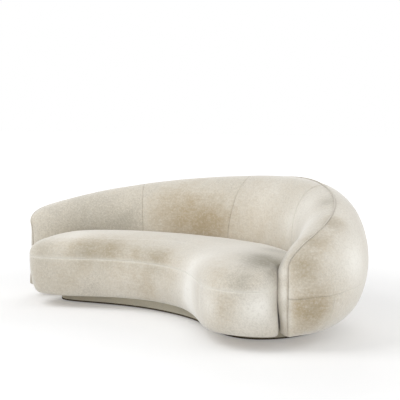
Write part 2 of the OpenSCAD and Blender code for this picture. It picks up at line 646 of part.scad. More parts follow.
// At the tips the flange is only this far in, along the line and across it
tip_tuck = [8, 6];
function band_row(i, d, shift) = let(s = place(i, d) + shift, st = station(s), turn = band_angle(st[2]),
    b = bulge_z(st[2]), flange = rounded(i, st, [st[5] - flange_w, body_z + d]),
    in = tip_tuck[0] * cos(cap_angle(i)) * (i < last_row / 2 ? 1 : -1))
    [for (j = [0:foot_steps + 1]) let(t = mix(turn, 90, j / foot_steps) + (j == 0 ? seam_turn : 0),
        p = j > foot_steps ? flange : rounded(i, st, [st[5] + (st[4] - st[5] - d) * cos(t),
            b - (b - body_z - d) * sin(t)]))
        j > foot_steps ? to_space(s + in, [min(p[0], st[3] - tip_tuck[1]), p[1]])
            : to_space(s, [max(p[0], st[3] + seam_gap / 2), p[1]])];
module band_panel(i0, i1) color(ivory) centred() {
    shift0 = i0 > 0 ? seam_gap / 2 : 0;
    shift1 = i1 < last_row ? -seam_gap / 2 : 0;
    grid = [for (d = [0, cover_t]) [for (i = [i0:i1])
        band_row(i, d, i == i0 ? shift0 : i == i1 ? shift1 : 0)]];
    sheet(grid[0], grid[1]);
}
module band_cover_left() band_panel(0, seam_rows[0]);
module band_cover_rear() band_panel(seam_rows[0], last_row - cap_steps - 1);
module band_cover_arm() band_panel(last_row - cap_steps - 1, last_row);

// Piping: up the left tip, along the crest, and down the arm nose
piping_sides = 6;
tip_steps = 4;
piping_foot = body_z + 10;
function piping_ring(i, z) = let(s = place(i, 0), st = station(s), way = heading(s), n = left_of(way),
    top = rounded(i, st, [st[3], st[2]])[1], a = i < last_row / 2 ? cap_angle(i) : 180 - cap_angle(i),
    out = [-cos(a) * way[0], -cos(a) * way[1], sin(a)],
    c = to_space(s, [st[3], z < 0 ? top : z]) + out * (piping_r + layer_gap))
    [for (k = [0:piping_sides - 1]) let(t = -360 * k / piping_sides)
        c + piping_r * (cos(t) * [n[0], n[1], 0] + sin(t) * out)];
function tip_top(i) = let(st = station(place(i, 0))) rounded(i, st, [st[3], st[2]])[1];
module crest_piping() color(linen) centred() tube(concat(
    [for (k = [0:tip_steps - 1]) piping_ring(0, mix(piping_foot, tip_top(0), k / tip_steps))],
    [for (i = [0:last_row]) piping_ring(i, -1)],
    [for (k = [tip_steps - 1:-1:0])
        piping_ring(last_row, mix(piping_foot, tip_top(last_row), k / tip_steps))]));

glides();
glide_screws();
plinth_wall();
plinth_facing();
plinth_blocks();
plinth_screws();
base_board();
dust_cloth();
seat_front_rail();
seat_rear_rail();
rail_screws();
seat_ribs();
seat_straps();
seat_felt();
seat_foam();
front_foam();
seat_cover_top();
front_cover_left();
front_cover_right();
back_ribs();
rib_screws();
back_bottom_rail();
back_middle_rail();
back_top_rail();
back_foam_inner();
back_foam_outer();
inner_cover_left();
inner_cover_middle();
inner_cover_right();
inner_cover_arm();
outer_cover_left();
outer_cover_rear();
outer_cover_arm();
band_cover_left();
band_cover_rear();
band_cover_arm();
crest_piping();
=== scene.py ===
"""Curved sofa: covers, foam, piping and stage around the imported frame."""
import functools
import math

import bmesh
import bpy
import numpy as np
from bpy.props import FloatProperty, FloatVectorProperty, IntProperty, PointerProperty
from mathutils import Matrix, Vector


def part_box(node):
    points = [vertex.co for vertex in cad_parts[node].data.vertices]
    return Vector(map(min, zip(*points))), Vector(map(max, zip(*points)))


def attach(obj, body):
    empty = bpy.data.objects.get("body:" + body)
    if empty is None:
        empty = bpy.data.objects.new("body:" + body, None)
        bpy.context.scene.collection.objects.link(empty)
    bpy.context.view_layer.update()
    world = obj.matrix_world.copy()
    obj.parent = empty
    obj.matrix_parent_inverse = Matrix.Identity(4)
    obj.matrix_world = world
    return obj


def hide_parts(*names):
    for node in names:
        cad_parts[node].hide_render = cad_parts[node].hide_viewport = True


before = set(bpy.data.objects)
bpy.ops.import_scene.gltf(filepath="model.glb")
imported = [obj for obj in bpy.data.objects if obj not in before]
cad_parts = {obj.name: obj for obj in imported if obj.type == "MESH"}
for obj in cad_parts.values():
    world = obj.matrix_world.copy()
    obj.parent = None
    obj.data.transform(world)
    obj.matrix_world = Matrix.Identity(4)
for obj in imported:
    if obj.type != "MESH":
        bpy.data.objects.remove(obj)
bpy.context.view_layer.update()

bl_info = {
    "name": "Curved sofa",
    "version": (1, 0, 0),
    "blender": (4, 5, 0),
    "location": "3D View > Sidebar > Sofa",
    "description": "Upholstery, piping, base and stage of a curved sofa",
    "category": "Object",
}

MM = 0.001

# Line between seat and back: x, y, crest height, crest depth, back depth, foot depth, in mm
STATIONS = np.array([
    (-962, -158, 540, 100, 200, 100),
    (-892, 42, 600, 120, 250, 130),
    (-702, 212, 665, 150, 290, 150),
    (-382, 302, 730, 170, 320, 160),
    (38, 312, 775, 180, 350, 170),
    (398, 232, 802, 190, 370, 180),
    (628, 92, 787, 200, 390, 190),
    (758, -78, 715, 200, 390, 180),
    (808, -278, 610, 170, 325, 150),
    (738, -448, 472, 130, 270, 120),
], float)
# Points that steer the front edge and the seat's middle line
FRONT = [(-957, -198), (-902, -358), (-712, -338), (-412, -208), (-82, -188), (188, -308), (328, -478),
         (458, -628), (608, -658), (768, -613), (838, -533), (790, -455), (760, -385)]
MIDDLE = [(-722, -78), (-412, 22), (-62, 42), (258, -38), (438, -208), (538, -358)]
# Points that steer the plinth line, counter-clockwise
PLINTH = [(-870, -60), (-800, -150), (-600, -115), (-310, -68), (-20, -105), (220, -195), (390, -360),
          (560, -420), (720, -350), (820, -220), (885, -60), (835, 100), (685, 240), (430, 348), (80, 400),
          (-300, 384), (-600, 270), (-800, 90)]
CENTRE = np.array([-0.5885, -0.4225])

# Rounded ends of the line between seat and back: their radii, and how far the crest drops there
LEFT_ROUND, NOSE_ROUND = 160.0, 130.0
LEFT_DROP, NOSE_DROP = 72.0, 44.0
LEAN_Z, INNER_POWER, SHOULDER_POWER = 400.0, 2.3, 2.1
WALL_OVER_BULGE, BAND_LEAST = 50.0, 15.0
RIGHT = math.pi / 2
SEAM_Z, SEAT_Z, SEAT_CROWN = 310.0, 415.0, 15.0
FRONT_ROUND, REAR_ROUND, FRONT_DRAW = 180.0, 50.0, 70.0
COVER, LAYER_GAP, BACK_FOAM = 4.0, 0.3, 40.0
INNER_SEAMS = [690.0, 1330.0, 1880.0]
BAND_SEAM_Z = 280.0
BODY_Z, BOARD_T = 75.0, 18.0
BOARD_Z = BODY_Z + COVER + LAYER_GAP
DECK_Z = BOARD_Z + BOARD_T + LAYER_GAP
RAIL_Z, STRAP_T, FELT_T = 262.0, 2.0, 3.0
FRONT_STEPS, REAR_STEPS = 27, 19
SEAT_N = FRONT_STEPS + REAR_STEPS
CAP_POWER, BAND_POWER, EDGE_POWER = 2.5, 3.0, 2.2
SEAM_GAP, FLANGE, TIP_TUCK = 0.6, 20.0, (8.0, 6.0)
FOOT_ROUND = 14.0
CREST_SHIFT, CREST_SHIFT_ENDS = 0.2, (1350.0, 1950.0)
CORNER_STEPS, FARTHEST_INSET = 3, 0.8
# Local shifts of a form: place, reach, the heights between which it grows and those between which it
# fades, and the shift, all in mm. The lobe's corner draws back beside the arm nose, and the back's left
# tip draws in behind the seat's left end
SEAT_SHIFTS = (((838.0, -533.0), 72.0, (95.0, 240.0, 600.0, 700.0), (-34.0, 18.0)),
               ((-965.0, -240.0), 120.0, (95.0, 240.0, 600.0, 700.0), (-7.0, -4.0)))
BACK_SHIFTS = (((-1056.0, -125.0), 130.0, (98.0, 300.0, 400.0, 580.0), (15.0, 12.0)),)
# The front's soft edge ends this many steps before the corner, where the lobe leans on the arm
CORNER_LEAD = 6
FRONT_SHARE, REAR_SHARE = (0.12, 0.55), (0.17, 0.75)
# A quarter of a nearly round edge is about this share of its two half axes together
QUARTER_ARC = 0.78
GLIDE_H = 6.0
FACING_T, PLINTH_T = 2.0, 18.0


def cubic(f):
    """Weights of the four steering points round a share of a step of a uniform cubic spline."""
    return (1 - f) ** 3, 3 * f ** 3 - 6 * f * f + 4, 3 * f + 3 * f * f - 3 * f ** 3 + 1, f ** 3


def spline(points, t, closed=False):
    """Points on a uniform cubic spline through steering points, closed or with its ends held."""
    p, t = np.asarray(points, float), np.asarray(t, float)
    i = np.floor(t).astype(int)
    if not closed:
        p = np.vstack([2 * p[0] - p[1], p, 2 * p[-1] - p[-2]])
        i = np.clip(i, 0, len(p) - 4)
    first = i - 1 if closed else i
    return sum(w * p[(first + k) % len(p)] for k, w in enumerate(cubic((t - i)[..., None]))) / 6


def unit(v):
    return v / np.maximum(np.linalg.norm(v, axis=-1, keepdims=True), 1e-9)


def left_of(v):
    return np.stack([-v[..., 1], v[..., 0]], -1)


def root(v, power):
    return np.maximum(v, 0) ** (1 / power)


def mix(a, b, w):
    return a + (b - a) * w


def smooth(x):
    x = np.clip(x, 0, 1)
    return x * x * (3 - 2 * x)


def run_along(points):
    """Distance from the first point to each, measured along the points."""
    return np.concatenate([[0], np.cumsum(np.linalg.norm(np.diff(points, axis=0), axis=1))])


LINE_T = np.linspace(0, len(STATIONS) - 1, 201)
LINE_S = run_along(spline(STATIONS, LINE_T)[:, :2])
LENGTH = LINE_S[-1]


def station(s):
    return spline(STATIONS, np.interp(s, LINE_S, LINE_T))


def heading(s):
    ahead, behind = station(np.minimum(s + 2, LENGTH)), station(np.clip(s - 2, 0, LENGTH - 2))
    return unit(ahead[..., :2] - behind[..., :2])


def bulge_z(h):
    """Height of the widest place of the back's outside, at a crest height."""
    return BODY_Z + (h - BODY_Z) / 2


def wall_z(h):
    """Height at which the upright inner wall starts to lean, at a crest height."""
    return np.minimum(LEAN_Z, bulge_z(h) + WALL_OVER_BULGE)


def band_turn(h):
    """Angle below the bulge at which the seam of the lower band lies."""
    b = bulge_z(h)
    return np.arcsin(np.clip((b - np.minimum(BAND_SEAM_Z, b - BAND_LEAST)) / (b - BODY_Z), 0, 1))


def foot_round(z):
    """How far the lower edge of a cover curls in at a height."""
    low = np.clip((BODY_Z + FOOT_ROUND - z) / FOOT_ROUND, 0, 1)
    return FOOT_ROUND * (1 - np.sqrt(1 - low * low))


def cap_turn(sigma):
    """Angle of the rounded ends, a right angle along the rest of the line."""
    left = np.arccos(np.clip(1 - sigma / LEFT_ROUND, 0, 1))
    nose = np.arccos(np.clip(1 - (LENGTH - sigma) / NOSE_ROUND, 0, 1))
    return np.where(sigma < LEFT_ROUND, left, np.where(sigma > LENGTH - NOSE_ROUND, nose, RIGHT))


def crest_offset(sigma, width):
    """How far outside the crest its seam lies: behind it on the left, on it from the arm on."""
    return width * root(np.sin(RIGHT * crest_shift(sigma)) ** 2, SHOULDER_POWER)


def crest_shift(sigma):
    """Share of the shoulder by which the crest's seam lies behind the crest."""
    return CREST_SHIFT * (1 - smooth((sigma - CREST_SHIFT_ENDS[0]) / np.diff(CREST_SHIFT_ENDS)[0]))


def back_points(sigma, col, d, side=0, behind=False):
    """Points of the back at a place along the line, a place across it and a depth below the cover.

    Across: 0 to 1 is the upright wall, to 2 the lean, to 3 the shoulder, to 4 the side, to 5 the band,
    to 6 the flange under the board. The side, -1 inner or 1 outer, keeps to its side of the crest.
    """
    sigma, col, d = np.broadcast_arrays(np.asarray(sigma, float), np.asarray(col, float),
                                        np.asarray(d, float))
    turn = cap_turn(sigma)
    s = np.where(sigma < LEFT_ROUND, d + (LEFT_ROUND - d) * (1 - np.cos(turn)),
                 np.where(sigma > LENGTH - NOSE_ROUND,
                          LENGTH - d - (NOSE_ROUND - d) * (1 - np.cos(turn)), sigma))
    st = station(s)
    h, c, w, f = (st[..., k] for k in (2, 3, 4, 5))
    a, b = wall_z(h), bulge_z(h)
    base = np.where((d <= COVER) & (turn < RIGHT - 1e-6), BODY_Z + np.maximum(d, 0), DECK_Z)
    low = band_turn(h)
    lean, shoulder = RIGHT * np.clip(col - 1, 0, 1), RIGHT * np.clip(col - 2, 0, 1)
    fold = np.where(col < 4, low * np.clip(col - 3, 0, 1), mix(low, RIGHT, np.clip(col - 4, 0, 1)))
    u = np.where(col <= 1, d, np.where(
        col <= 2, c - (c - d) * root(np.cos(lean) ** 2, INNER_POWER), np.where(
            col <= 3, c + (w - c - d) * root(np.sin(shoulder) ** 2, SHOULDER_POWER),
            f + (w - f - d) * np.cos(fold))))
    z = np.where(col <= 1, mix(base, a, np.clip(col, 0, 1)), np.where(
        col <= 2, a + (h - a - d) * root(np.sin(lean) ** 2, INNER_POWER), np.where(
            col <= 3, b + (h - b - d) * root(np.cos(shoulder) ** 2, SHOULDER_POWER),
            b - (b - BODY_Z - d) * np.sin(fold))))
    k = np.sin(turn)
    fall = 1 - root(1 - np.cos(turn) ** CAP_POWER, CAP_POWER)
    left_half = sigma < LENGTH / 2
    drop = np.where(left_half, LEFT_DROP, NOSE_DROP)
    u = c + (u - c) * k
    z = np.where(z > a, z - drop * fall * (z - a) / (h - a), z)
    if side:
        seam = c + (crest_offset(sigma, w - c) if behind else 0) * k
        u = side * np.maximum(side * u, side * seam + SEAM_GAP / 2)
    under = np.clip(col - 5, 0, 1)
    tuck = np.minimum(c + (f - FLANGE - c) * k, c - TIP_TUCK[1])
    u = mix(u, tuck, under)
    s = s + (foot_round(z) + under * TIP_TUCK[0]) * np.cos(turn) * np.where(left_half, 1, -1)
    st = station(s)
    beyond = np.maximum(s - LENGTH, 0)[..., None]
    xy = st[..., :2] + left_of(heading(s)) * u[..., None] + heading(LENGTH) * beyond
    return shifted(np.concatenate([xy, z[..., None]], -1), BACK_SHIFTS)


def between(z, heights):
    """A share that grows from 0 to 1 between the first two heights and fades between the last two."""
    low, full, fading, none = heights
    return smooth((z - low) / (full - low)) * smooth((none - z) / (none - fading))


def shifted(points, shifts):
    """The points after local shifts, each by its place and reach, heights and way."""
    out = points.copy()
    for place, reach, heights, way in shifts:
        share = np.exp(-(np.linalg.norm(points[..., :2] - np.array(place), axis=-1) / reach) ** 2)
        share = share * between(points[..., 2], heights)
        out[..., :2] += np.array(way) * share[..., None]
    return out


def seat_sigma(k):
    """Places of the seat's rear points along the line, in steps from the nose to the left end."""
    spans = [NOSE_ROUND - LENGTH, -INNER_SEAMS[2], -INNER_SEAMS[1], -INNER_SEAMS[0], -LEFT_ROUND]
    return -np.interp(k, [0, 5, 9, 14, 18], spans)


def rear_points(k):
    s = seat_sigma(k)
    return station(s)[..., :2] - left_of(heading(s)) * LAYER_GAP


FRONT_LINE = [tuple(rear_points(np.array(REAR_STEPS - 1.0)))] + FRONT + [tuple(rear_points(np.array(0.0)))]


def outline(i):
    """Seat outline at a running number: the front edge from the left, then back along the line."""
    i = np.mod(np.asarray(i, float), SEAT_N)
    share = np.where(i <= SEAT_N - 1, np.interp(i, [0, FRONT_STEPS - 1, FRONT_STEPS],
                                               [0.5 / FRONT_STEPS, 1 - 0.5 / FRONT_STEPS, 1]),
                     (i - SEAT_N + 1) * 0.5 / FRONT_STEPS)
    front = spline(FRONT_LINE, share * (len(FRONT_LINE) - 1))
    rear = rear_points(np.clip(i - FRONT_STEPS, 0, REAR_STEPS - 1))
    on_rear = (i > FRONT_STEPS) & (i <= SEAT_N - 1)
    return np.where(on_rear[..., None], rear, front)


def seat_fields(i):
    """Outline, tangent, share of the rear form and middle point at running numbers."""
    i = np.asarray(i, float)
    tangent = unit(outline(i + 1) - outline(i - 1))
    p = np.mod(i + 0.5, SEAT_N)
    corner = FRONT_STEPS - CORNER_LEAD
    ease = np.where(p < corner, -np.minimum(p, corner - p), np.minimum(p - corner, SEAT_N - p))
    ease = np.clip(ease / CORNER_STEPS, -1, 1)
    rear = 0.5 + 0.25 * ease * (3 - ease * ease)
    share = np.where(p < FRONT_STEPS, (p / FRONT_STEPS - FRONT_SHARE[0]) / FRONT_SHARE[1],
                     1 - ((p - FRONT_STEPS) / REAR_STEPS - REAR_SHARE[0]) / REAR_SHARE[1])
    middle = spline(MIDDLE, np.clip(share, 0, 1) * (len(MIDDLE) - 1))
    return outline(i), tangent, rear, middle


def band_share(z):
    """Place across the seat at a height of its front band."""
    return (z - BODY_Z) / (SEAM_Z - BODY_Z)


def band_draw(z):
    """How far the front band draws in at a height."""
    low = np.clip((SEAM_Z - z) / (SEAM_Z - BODY_Z), 0, 1)
    return FRONT_DRAW * (1 - root(1 - low ** BAND_POWER, BAND_POWER))


def seat_points(fields, col, d):
    """Points of the seat at the fields' places, a place across it and a depth below the cover.

    Across: -1 to 0 is the flange under the board, to 1 the front band, to 2 the rounded edge, to 3 the top.
    """
    o, tangent, rear, middle = fields
    col, d = np.broadcast_arrays(np.asarray(col, float), np.asarray(d, float))
    o, tangent, middle, rear = o[:, None], tangent[:, None], middle[:, None], rear[:, None]
    way, reach = unit(middle - o), np.linalg.norm(middle - o, axis=-1) * FARTHEST_INSET
    z_band = mix(BODY_Z + d, SEAM_Z, np.clip(col, 0, 1))
    curl = np.where(col <= 1, foot_round(z_band - d) * (1 - rear), 0)
    r = mix(FRONT_ROUND, REAR_ROUND, rear)
    low = mix(SEAM_Z, SEAT_Z - REAR_ROUND, rear)
    wall = low - SEAM_Z
    arc = (r + SEAT_Z - low) * QUARTER_ARC
    run = np.clip(col - 1, 0, 1) * (wall + arc)
    turn = RIGHT * np.clip((run - wall) / arc, 0, 1)
    w = np.clip(col - 2, 0, 1)
    inset = np.where(col <= 1, band_draw(z_band) * (1 - rear) + curl, np.where(
        col <= 2, r * (1 - root(np.cos(turn) ** 2, EDGE_POWER)), r))
    z = np.where(col <= 1, z_band, np.where(
        col <= 2, np.where(run < wall, SEAM_Z + run,
                           low + (SEAT_Z - low - d) * root(np.sin(turn) ** 2, EDGE_POWER)),
        SEAT_Z + SEAT_CROWN * (1 - (1 - w) ** 2) - d))
    p = o + left_of(tangent) * d[..., None] + way * np.minimum(inset, reach)[..., None]
    p = mix(p, middle, w[..., None]) + unit(middle - p) * (FLANGE * np.clip(-col, 0, 1))[..., None]
    return shifted(np.concatenate([p, z[..., None]], -1), SEAT_SHIFTS)


# Meshes

SHARP_DEGREES = 55.0


def linked(name, data):
    """A new object in the scene."""
    obj = bpy.data.objects.new(name, data)
    bpy.context.scene.collection.objects.link(obj)
    return obj


def mesh_object(name, points, faces, material):
    """A piece at the origin with its place in its mesh; points are in mm, before centring."""
    points = np.asarray(points, float).reshape(-1, 3).copy()
    points[:, :2] -= CENTRE
    mesh = bpy.data.meshes.new(name)
    mesh.from_pydata((points * MM).tolist(), [], faces)
    mesh.materials.append(material)
    mesh.shade_smooth()
    return linked(name, mesh)


def grid_faces(n, m, first=0, turned=False, loop=False):
    """Quads of a grid of n rows of m points, facing out where rows run along and columns run up."""
    i = np.arange(n if loop else n - 1)[:, None]
    j = np.arange(m - 1)[None, :]
    a, d = first + i * m + j, first + ((i + 1) % n) * m + j
    quads = [a, a + 1, d + 1, d] if turned else [a, d, d + 1, a + 1]
    return np.stack(quads, -1).reshape(-1, 4).tolist()


def rim_faces(n, m):
    """Quads that close the edges between an outer grid and the inner grid that follows it."""
    k, out = n * m, []
    for i in range(n - 1):
        a, d = i * m, (i + 1) * m
        out += [[d, a, a + k, d + k], [a + m - 1, d + m - 1, d + m - 1 + k, a + m - 1 + k]]
    for j in range(m - 1):
        a, c = j, (n - 1) * m + j
        out += [[a, a + 1, a + 1 + k, a + k], [c + 1, c, c + k, c + 1 + k]]
    return out


def point_attribute(obj, name, values):
    attribute = obj.data.attributes.new(name, "FLOAT", "POINT")
    attribute.data.foreach_set("value", np.asarray(values, np.float32).ravel())


def finish_piece(obj, nodes=()):
    """Sharpens the folded edges, parents the piece to the root body, and hides the frame parts it replaces.
    """
    obj.data.set_sharp_from_angle(angle=math.radians(SHARP_DEGREES))
    obj.data.validate()
    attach(obj, "root")
    if nodes:
        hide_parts(*nodes)
    return obj


# Spacing of points over the covers

# Distances from a seam in mm, angles from a tip, and steps of a measured section
EDGE_STEPS = np.array([0, 0.8, 2, 4, 7, 12])
TIP_DEGREES = np.concatenate([[0, 0.4, 1, 2, 3.5, 6], np.arange(9, 90, 3)])
MEASURE_STEPS = 3000


def spaced(a, b, step, near_a=True, near_b=True):
    """Places from a to b in mm, close together beside a seam and even between."""
    first = a + EDGE_STEPS if near_a else np.array([a], float)
    last = b - EDGE_STEPS[::-1] if near_b else np.array([b], float)
    count = max(int(round((last[0] - first[-1]) / step)), 1)
    return np.concatenate([first[:-1], np.linspace(first[-1], last[0], count + 1), last[1:]])


def line_places(a, b, step):
    """Places along the line from a to b, spaced by angle round the tips."""
    left, nose = tip_places(TIP_DEGREES)
    at_left, at_nose = a <= 0, b >= LENGTH
    places = [left] if at_left else []
    places.append(spaced(LEFT_ROUND if at_left else a + SEAM_GAP / 2,
                         LENGTH - NOSE_ROUND if at_nose else b - SEAM_GAP / 2, step,
                         not at_left, not at_nose))
    if at_nose:
        places.append(nose)
    return np.concatenate(places)


def tip_places(degrees):
    """Places along the line round its left tip and round its nose, at angles from each end."""
    turn = np.radians(degrees)
    return LEFT_ROUND * (1 - np.cos(turn)), LENGTH - NOSE_ROUND * (1 - np.cos(turn[::-1]))


def even_columns(points_at, a, b, step, near_a, near_b):
    """Places across a form from a to b at an even step, measured on one of its sections."""
    col = np.linspace(a, b, MEASURE_STEPS + 1)
    run = run_along(points_at(col))
    return np.interp(spaced(0, run[-1], step, near_a, near_b), run, col)


def seat_columns(a, b, step, near_a=False, near_b=False):
    """Places across the seat, measured on its usual section."""
    at = seat_fields(np.array([SEAT_SECTION]))
    return even_columns(lambda c: seat_points(at, c[None, :], 0)[0], a, b, step, near_a, near_b)


def back_columns(place, a, b, step, near_a=False, near_b=False, side=0):
    """Places across the back, measured at a place along the line."""
    return even_columns(lambda c: back_points(place, c, 0, side), a, b, step, near_a, near_b)


OUTLINE_I = np.linspace(0, SEAT_N, 50 * SEAT_N + 1)
OUTLINE_RUN = run_along(outline(OUTLINE_I))


def outline_numbers(a, b, step, near_a=True, near_b=True):
    """Running numbers of the seat outline between two of them, at an even step in mm."""
    ends = np.interp([a, b], OUTLINE_I, OUTLINE_RUN)
    return np.interp(spaced(ends[0], ends[1], step, near_a, near_b), OUTLINE_RUN, OUTLINE_I)


# Swell, gathers and seams

# Steps and sections of the coarse skins that are blown up; the height up to which the back touches the
# seat, and how far below its top the seat stops touching the back
SKIN_STEP, SKIN_SECTION, SEAT_SECTION, SEAT_SKIN_STEPS = 19.0, 1100.0, 8.0, 4
CONTACT_Z, CONTACT_DROP = 405.0, 6.0
# Seam of the arm's lower band along the line, the lobe's seam, and where the seat's top ends
ARM_SEAM, LOBE_NUMBER, MIDDLE_SHARE = 2207.43, 14, 2.97
# Width of the roll beside a seam, its depth on back and seat, and the cover's least thickness in it
ROLL_R, SEAM_DEPTH, SEAT_SEAM_DEPTH, LIP = 5.0, 2.6, 1.8, 1.4
# Wave lengths, height and reach of the gathers beside a seam, and what the sum of their waves is divided by
GATHER_LENGTHS, GATHER_H, GATHER_REACH, GATHER_START, GATHER_EVEN = (26, 37, 61, 93), 0.7, 20.0, 4.0, 2.4
# The cloth simulation: frames, pressure, mass of a point, and quality
SWELL_FRAMES, SWELL_PRESSURE, SWELL_MASS, SWELL_QUALITY = 20, 4.0, 0.3, 5
# Without the simulation: rounds of evening out, what each adds, and the share that counts as the fullest
EVEN_ROUNDS, EVEN_PUSH, EVEN_FULLEST, BLOWN_FULLEST = 40, 0.02, 98, 97
# Width of the band beside a seam in which a cover's swell sets in
SWELL_START = 9.0


def edge_gaps(points, edges):
    """Distances of a grid's points from those of its four edges that are seams."""
    ends = (points[:1], points[-1:], points[:, :1], points[:, -1:])
    far = np.full(points.shape[:2], 1e6)
    return [np.linalg.norm(points - end, axis=-1) if on else far for end, on in zip(ends, edges)]


def edge_roll(gaps, depth):
    """Depth by which a cover rolls down into its seams."""
    x = np.clip(1 - np.minimum(gaps[0], gaps[1]) / ROLL_R, 0, 1)
    y = np.clip(1 - np.minimum(gaps[2], gaps[3]) / ROLL_R, 0, 1)
    return depth * (1 - np.sqrt(1 - np.minimum(x * x + y * y, 1)))


def gathers(along, away, phase):
    """Small gathers across a seam, fading with the distance from it."""
    wave = sum(np.sin(along * 2 * math.pi / length + phase * k)
               for k, length in enumerate(GATHER_LENGTHS, 1)) / GATHER_EVEN
    return GATHER_H * wave * np.exp(-away / GATHER_REACH) * (1 - np.exp(-away / GATHER_START))


def unevenness(points):
    """Broad, shallow unevenness of a hand-stuffed cover, in mm."""
    x, y, z = (points[..., k] for k in range(3))
    return (0.8 * np.sin(x / 61 + 1.7 * np.sin(y / 83)) * np.sin(z / 57 + x / 190)
            + 0.6 * np.sin(y / 47 + z / 71 + 0.9) * np.sin(x / 113 + 2.1))


def sample_grid(values, i, j, loop):
    """Values of a coarse grid at broken row and column numbers, by a cubic spline each way."""
    n, m = values.shape
    a, b = np.floor(i).astype(int), np.floor(j).astype(int)
    weights = cubic(i - a), cubic(j - b)
    total = np.zeros(np.broadcast(i, j).shape)
    for k in range(4):
        row = (a + k - 1) % n if loop else np.clip(a + k - 1, 0, n - 1)
        for q in range(4):
            total += weights[0][k] * weights[1][q] * values[row, np.clip(b + q - 1, 0, m - 1)]
    return total / 36


def grid_normals(points, loop):
    """Outward normals of a grid whose rows run along and whose columns run up."""
    if loop:
        along = np.roll(points, -1, 0) - np.roll(points, 1, 0)
    else:
        along = np.gradient(points, axis=0)
    return unit(np.cross(along, np.gradient(points, axis=1)))


def crossed(rows, columns):
    """Grids of the row's place and of the column's place at each point."""
    return np.meshgrid(rows, columns, indexing="ij")


def swollen(name, points, held, reach, loop=False):
    """How far out a thin skin moves when it is blown up as cloth, held at its seams, in mm.

    The movement is brought to the reach at its fullest, and kept within it.
    """
    n, m = points.shape[:2]
    skin = mesh_object(name, points, grid_faces(n, m, loop=loop), None)
    if loop:
        fill_openings(skin, leave=0)
    group = skin.vertex_groups.new(name="seams")
    group.add(np.flatnonzero(held.ravel()).tolist(), 1.0, "REPLACE")
    cloth = skin.modifiers.new("Swell", "CLOTH")
    settings = cloth.settings
    settings.quality = SWELL_QUALITY
    settings.mass = SWELL_MASS
    settings.use_pressure = True
    settings.uniform_pressure_force = SWELL_PRESSURE
    settings.effector_weights.gravity = 0
    settings.vertex_group_mass = group.name
    cloth.collision_settings.use_collision = False
    cloth.point_cache.frame_start, cloth.point_cache.frame_end = 1, SWELL_FRAMES
    scene = bpy.context.scene
    for number in range(1, SWELL_FRAMES + 1):
        scene.frame_set(number)
    blown = skin.evaluated_get(bpy.context.evaluated_depsgraph_get()).to_mesh()
    co = np.empty(len(blown.vertices) * 3)
    blown.vertices.foreach_get("co", co)
    co = co.reshape(-1, 3)[:n * m].reshape(n, m, 3) / MM
    co[..., :2] += CENTRE
    bpy.data.objects.remove(skin)
    scene.frame_set(1)
    out = np.sum((co - points) * grid_normals(points, loop), -1)
    out = np.where(held, 0, np.clip(out, 0, None))
    return np.minimum(out / max(np.percentile(out, BLOWN_FULLEST), 1e-6), 1) * reach


def open_loops(bm):
    """The open edges of a mesh, one list for each loop."""
    left = {e for e in bm.edges if len(e.link_faces) == 1}
    loops = []
    while left:
        front, loop = [left.pop()], []
        while front:
            edge = front.pop()
            loop.append(edge)
            beside = [e for v in edge.verts for e in v.link_edges if e in left]
            left.difference_update(beside)
            front += beside
        loops.append(loop)
    return loops


def fill_openings(obj, leave=None):
    """Closes the open loops of a mesh, apart from one that holds a given vertex."""
    bm = bmesh.new()
    bm.from_mesh(obj.data)
    for loop in open_loops(bm):
        if leave is None or all(v.index != leave for e in loop for v in e.verts):
            made = bmesh.ops.triangle_fill(bm, edges=loop, use_beauty=True, use_dissolve=False)
            for face in made["geom"]:
                if isinstance(face, bmesh.types.BMFace):
                    face.smooth = True
    bm.to_mesh(obj.data)
    bm.free()


def turn_outwards(obj):
    """Turns the faces of a closed mesh outwards and checks that it is closed."""
    bm = bmesh.new()
    bm.from_mesh(obj.data)
    bmesh.ops.recalc_face_normals(bm, faces=bm.faces)
    if bm.calc_volume(signed=True) < 0:
        bmesh.ops.reverse_faces(bm, faces=bm.faces)
    loose = sum(1 for e in bm.edges if len(e.link_faces) != 2)
    bm.to_mesh(obj.data)
    bm.free()
    if loose:
        raise RuntimeError("%s has %d edges that don't join two faces" % (obj.name, loose))


@functools.cache
def back_skin():
    """The back's swell: rows and columns of its coarse skin, and how far it stands out there."""
    left, nose = tip_places(np.arange(0, 90, 9))
    ends = [LEFT_ROUND, *INNER_SEAMS, ARM_SEAM, LENGTH - NOSE_ROUND]
    spans = [np.linspace(a, b, max(int(round((b - a) / SKIN_STEP)), 2) + 1)[:-1]
             for a, b in zip(ends, ends[1:])]
    sigma = np.concatenate([left, *spans, [ends[-1]], nose])
    col = np.concatenate([back_columns(SKIN_SECTION, a, a + 1, SKIN_STEP)[:-1] for a in range(5)] + [[5]])
    s, c = crossed(sigma, col)
    points = back_points(s, c, 0)
    beside_seat = ((s >= LEFT_ROUND - 1) & (s <= LENGTH - NOSE_ROUND + 1) & (c < 2)
                   & (points[..., 2] < CONTACT_Z))
    inner = np.isin(s, INNER_SEAMS) & (c < 2)
    outer = np.isin(s, (INNER_SEAMS[0], INNER_SEAMS[2])) & (c > 2) & (c < 4)
    band = np.isin(s, (INNER_SEAMS[0], ARM_SEAM)) & (c > 4)
    tips = (s == sigma[0]) | (s == sigma[-1])
    held = np.isin(c, (0, 2, 4, 5)) | beside_seat | inner | outer | band | tips
    return sigma, col, swollen("back_skin", points, held, bpy.context.scene.sofa_sizes.back_swell / MM)


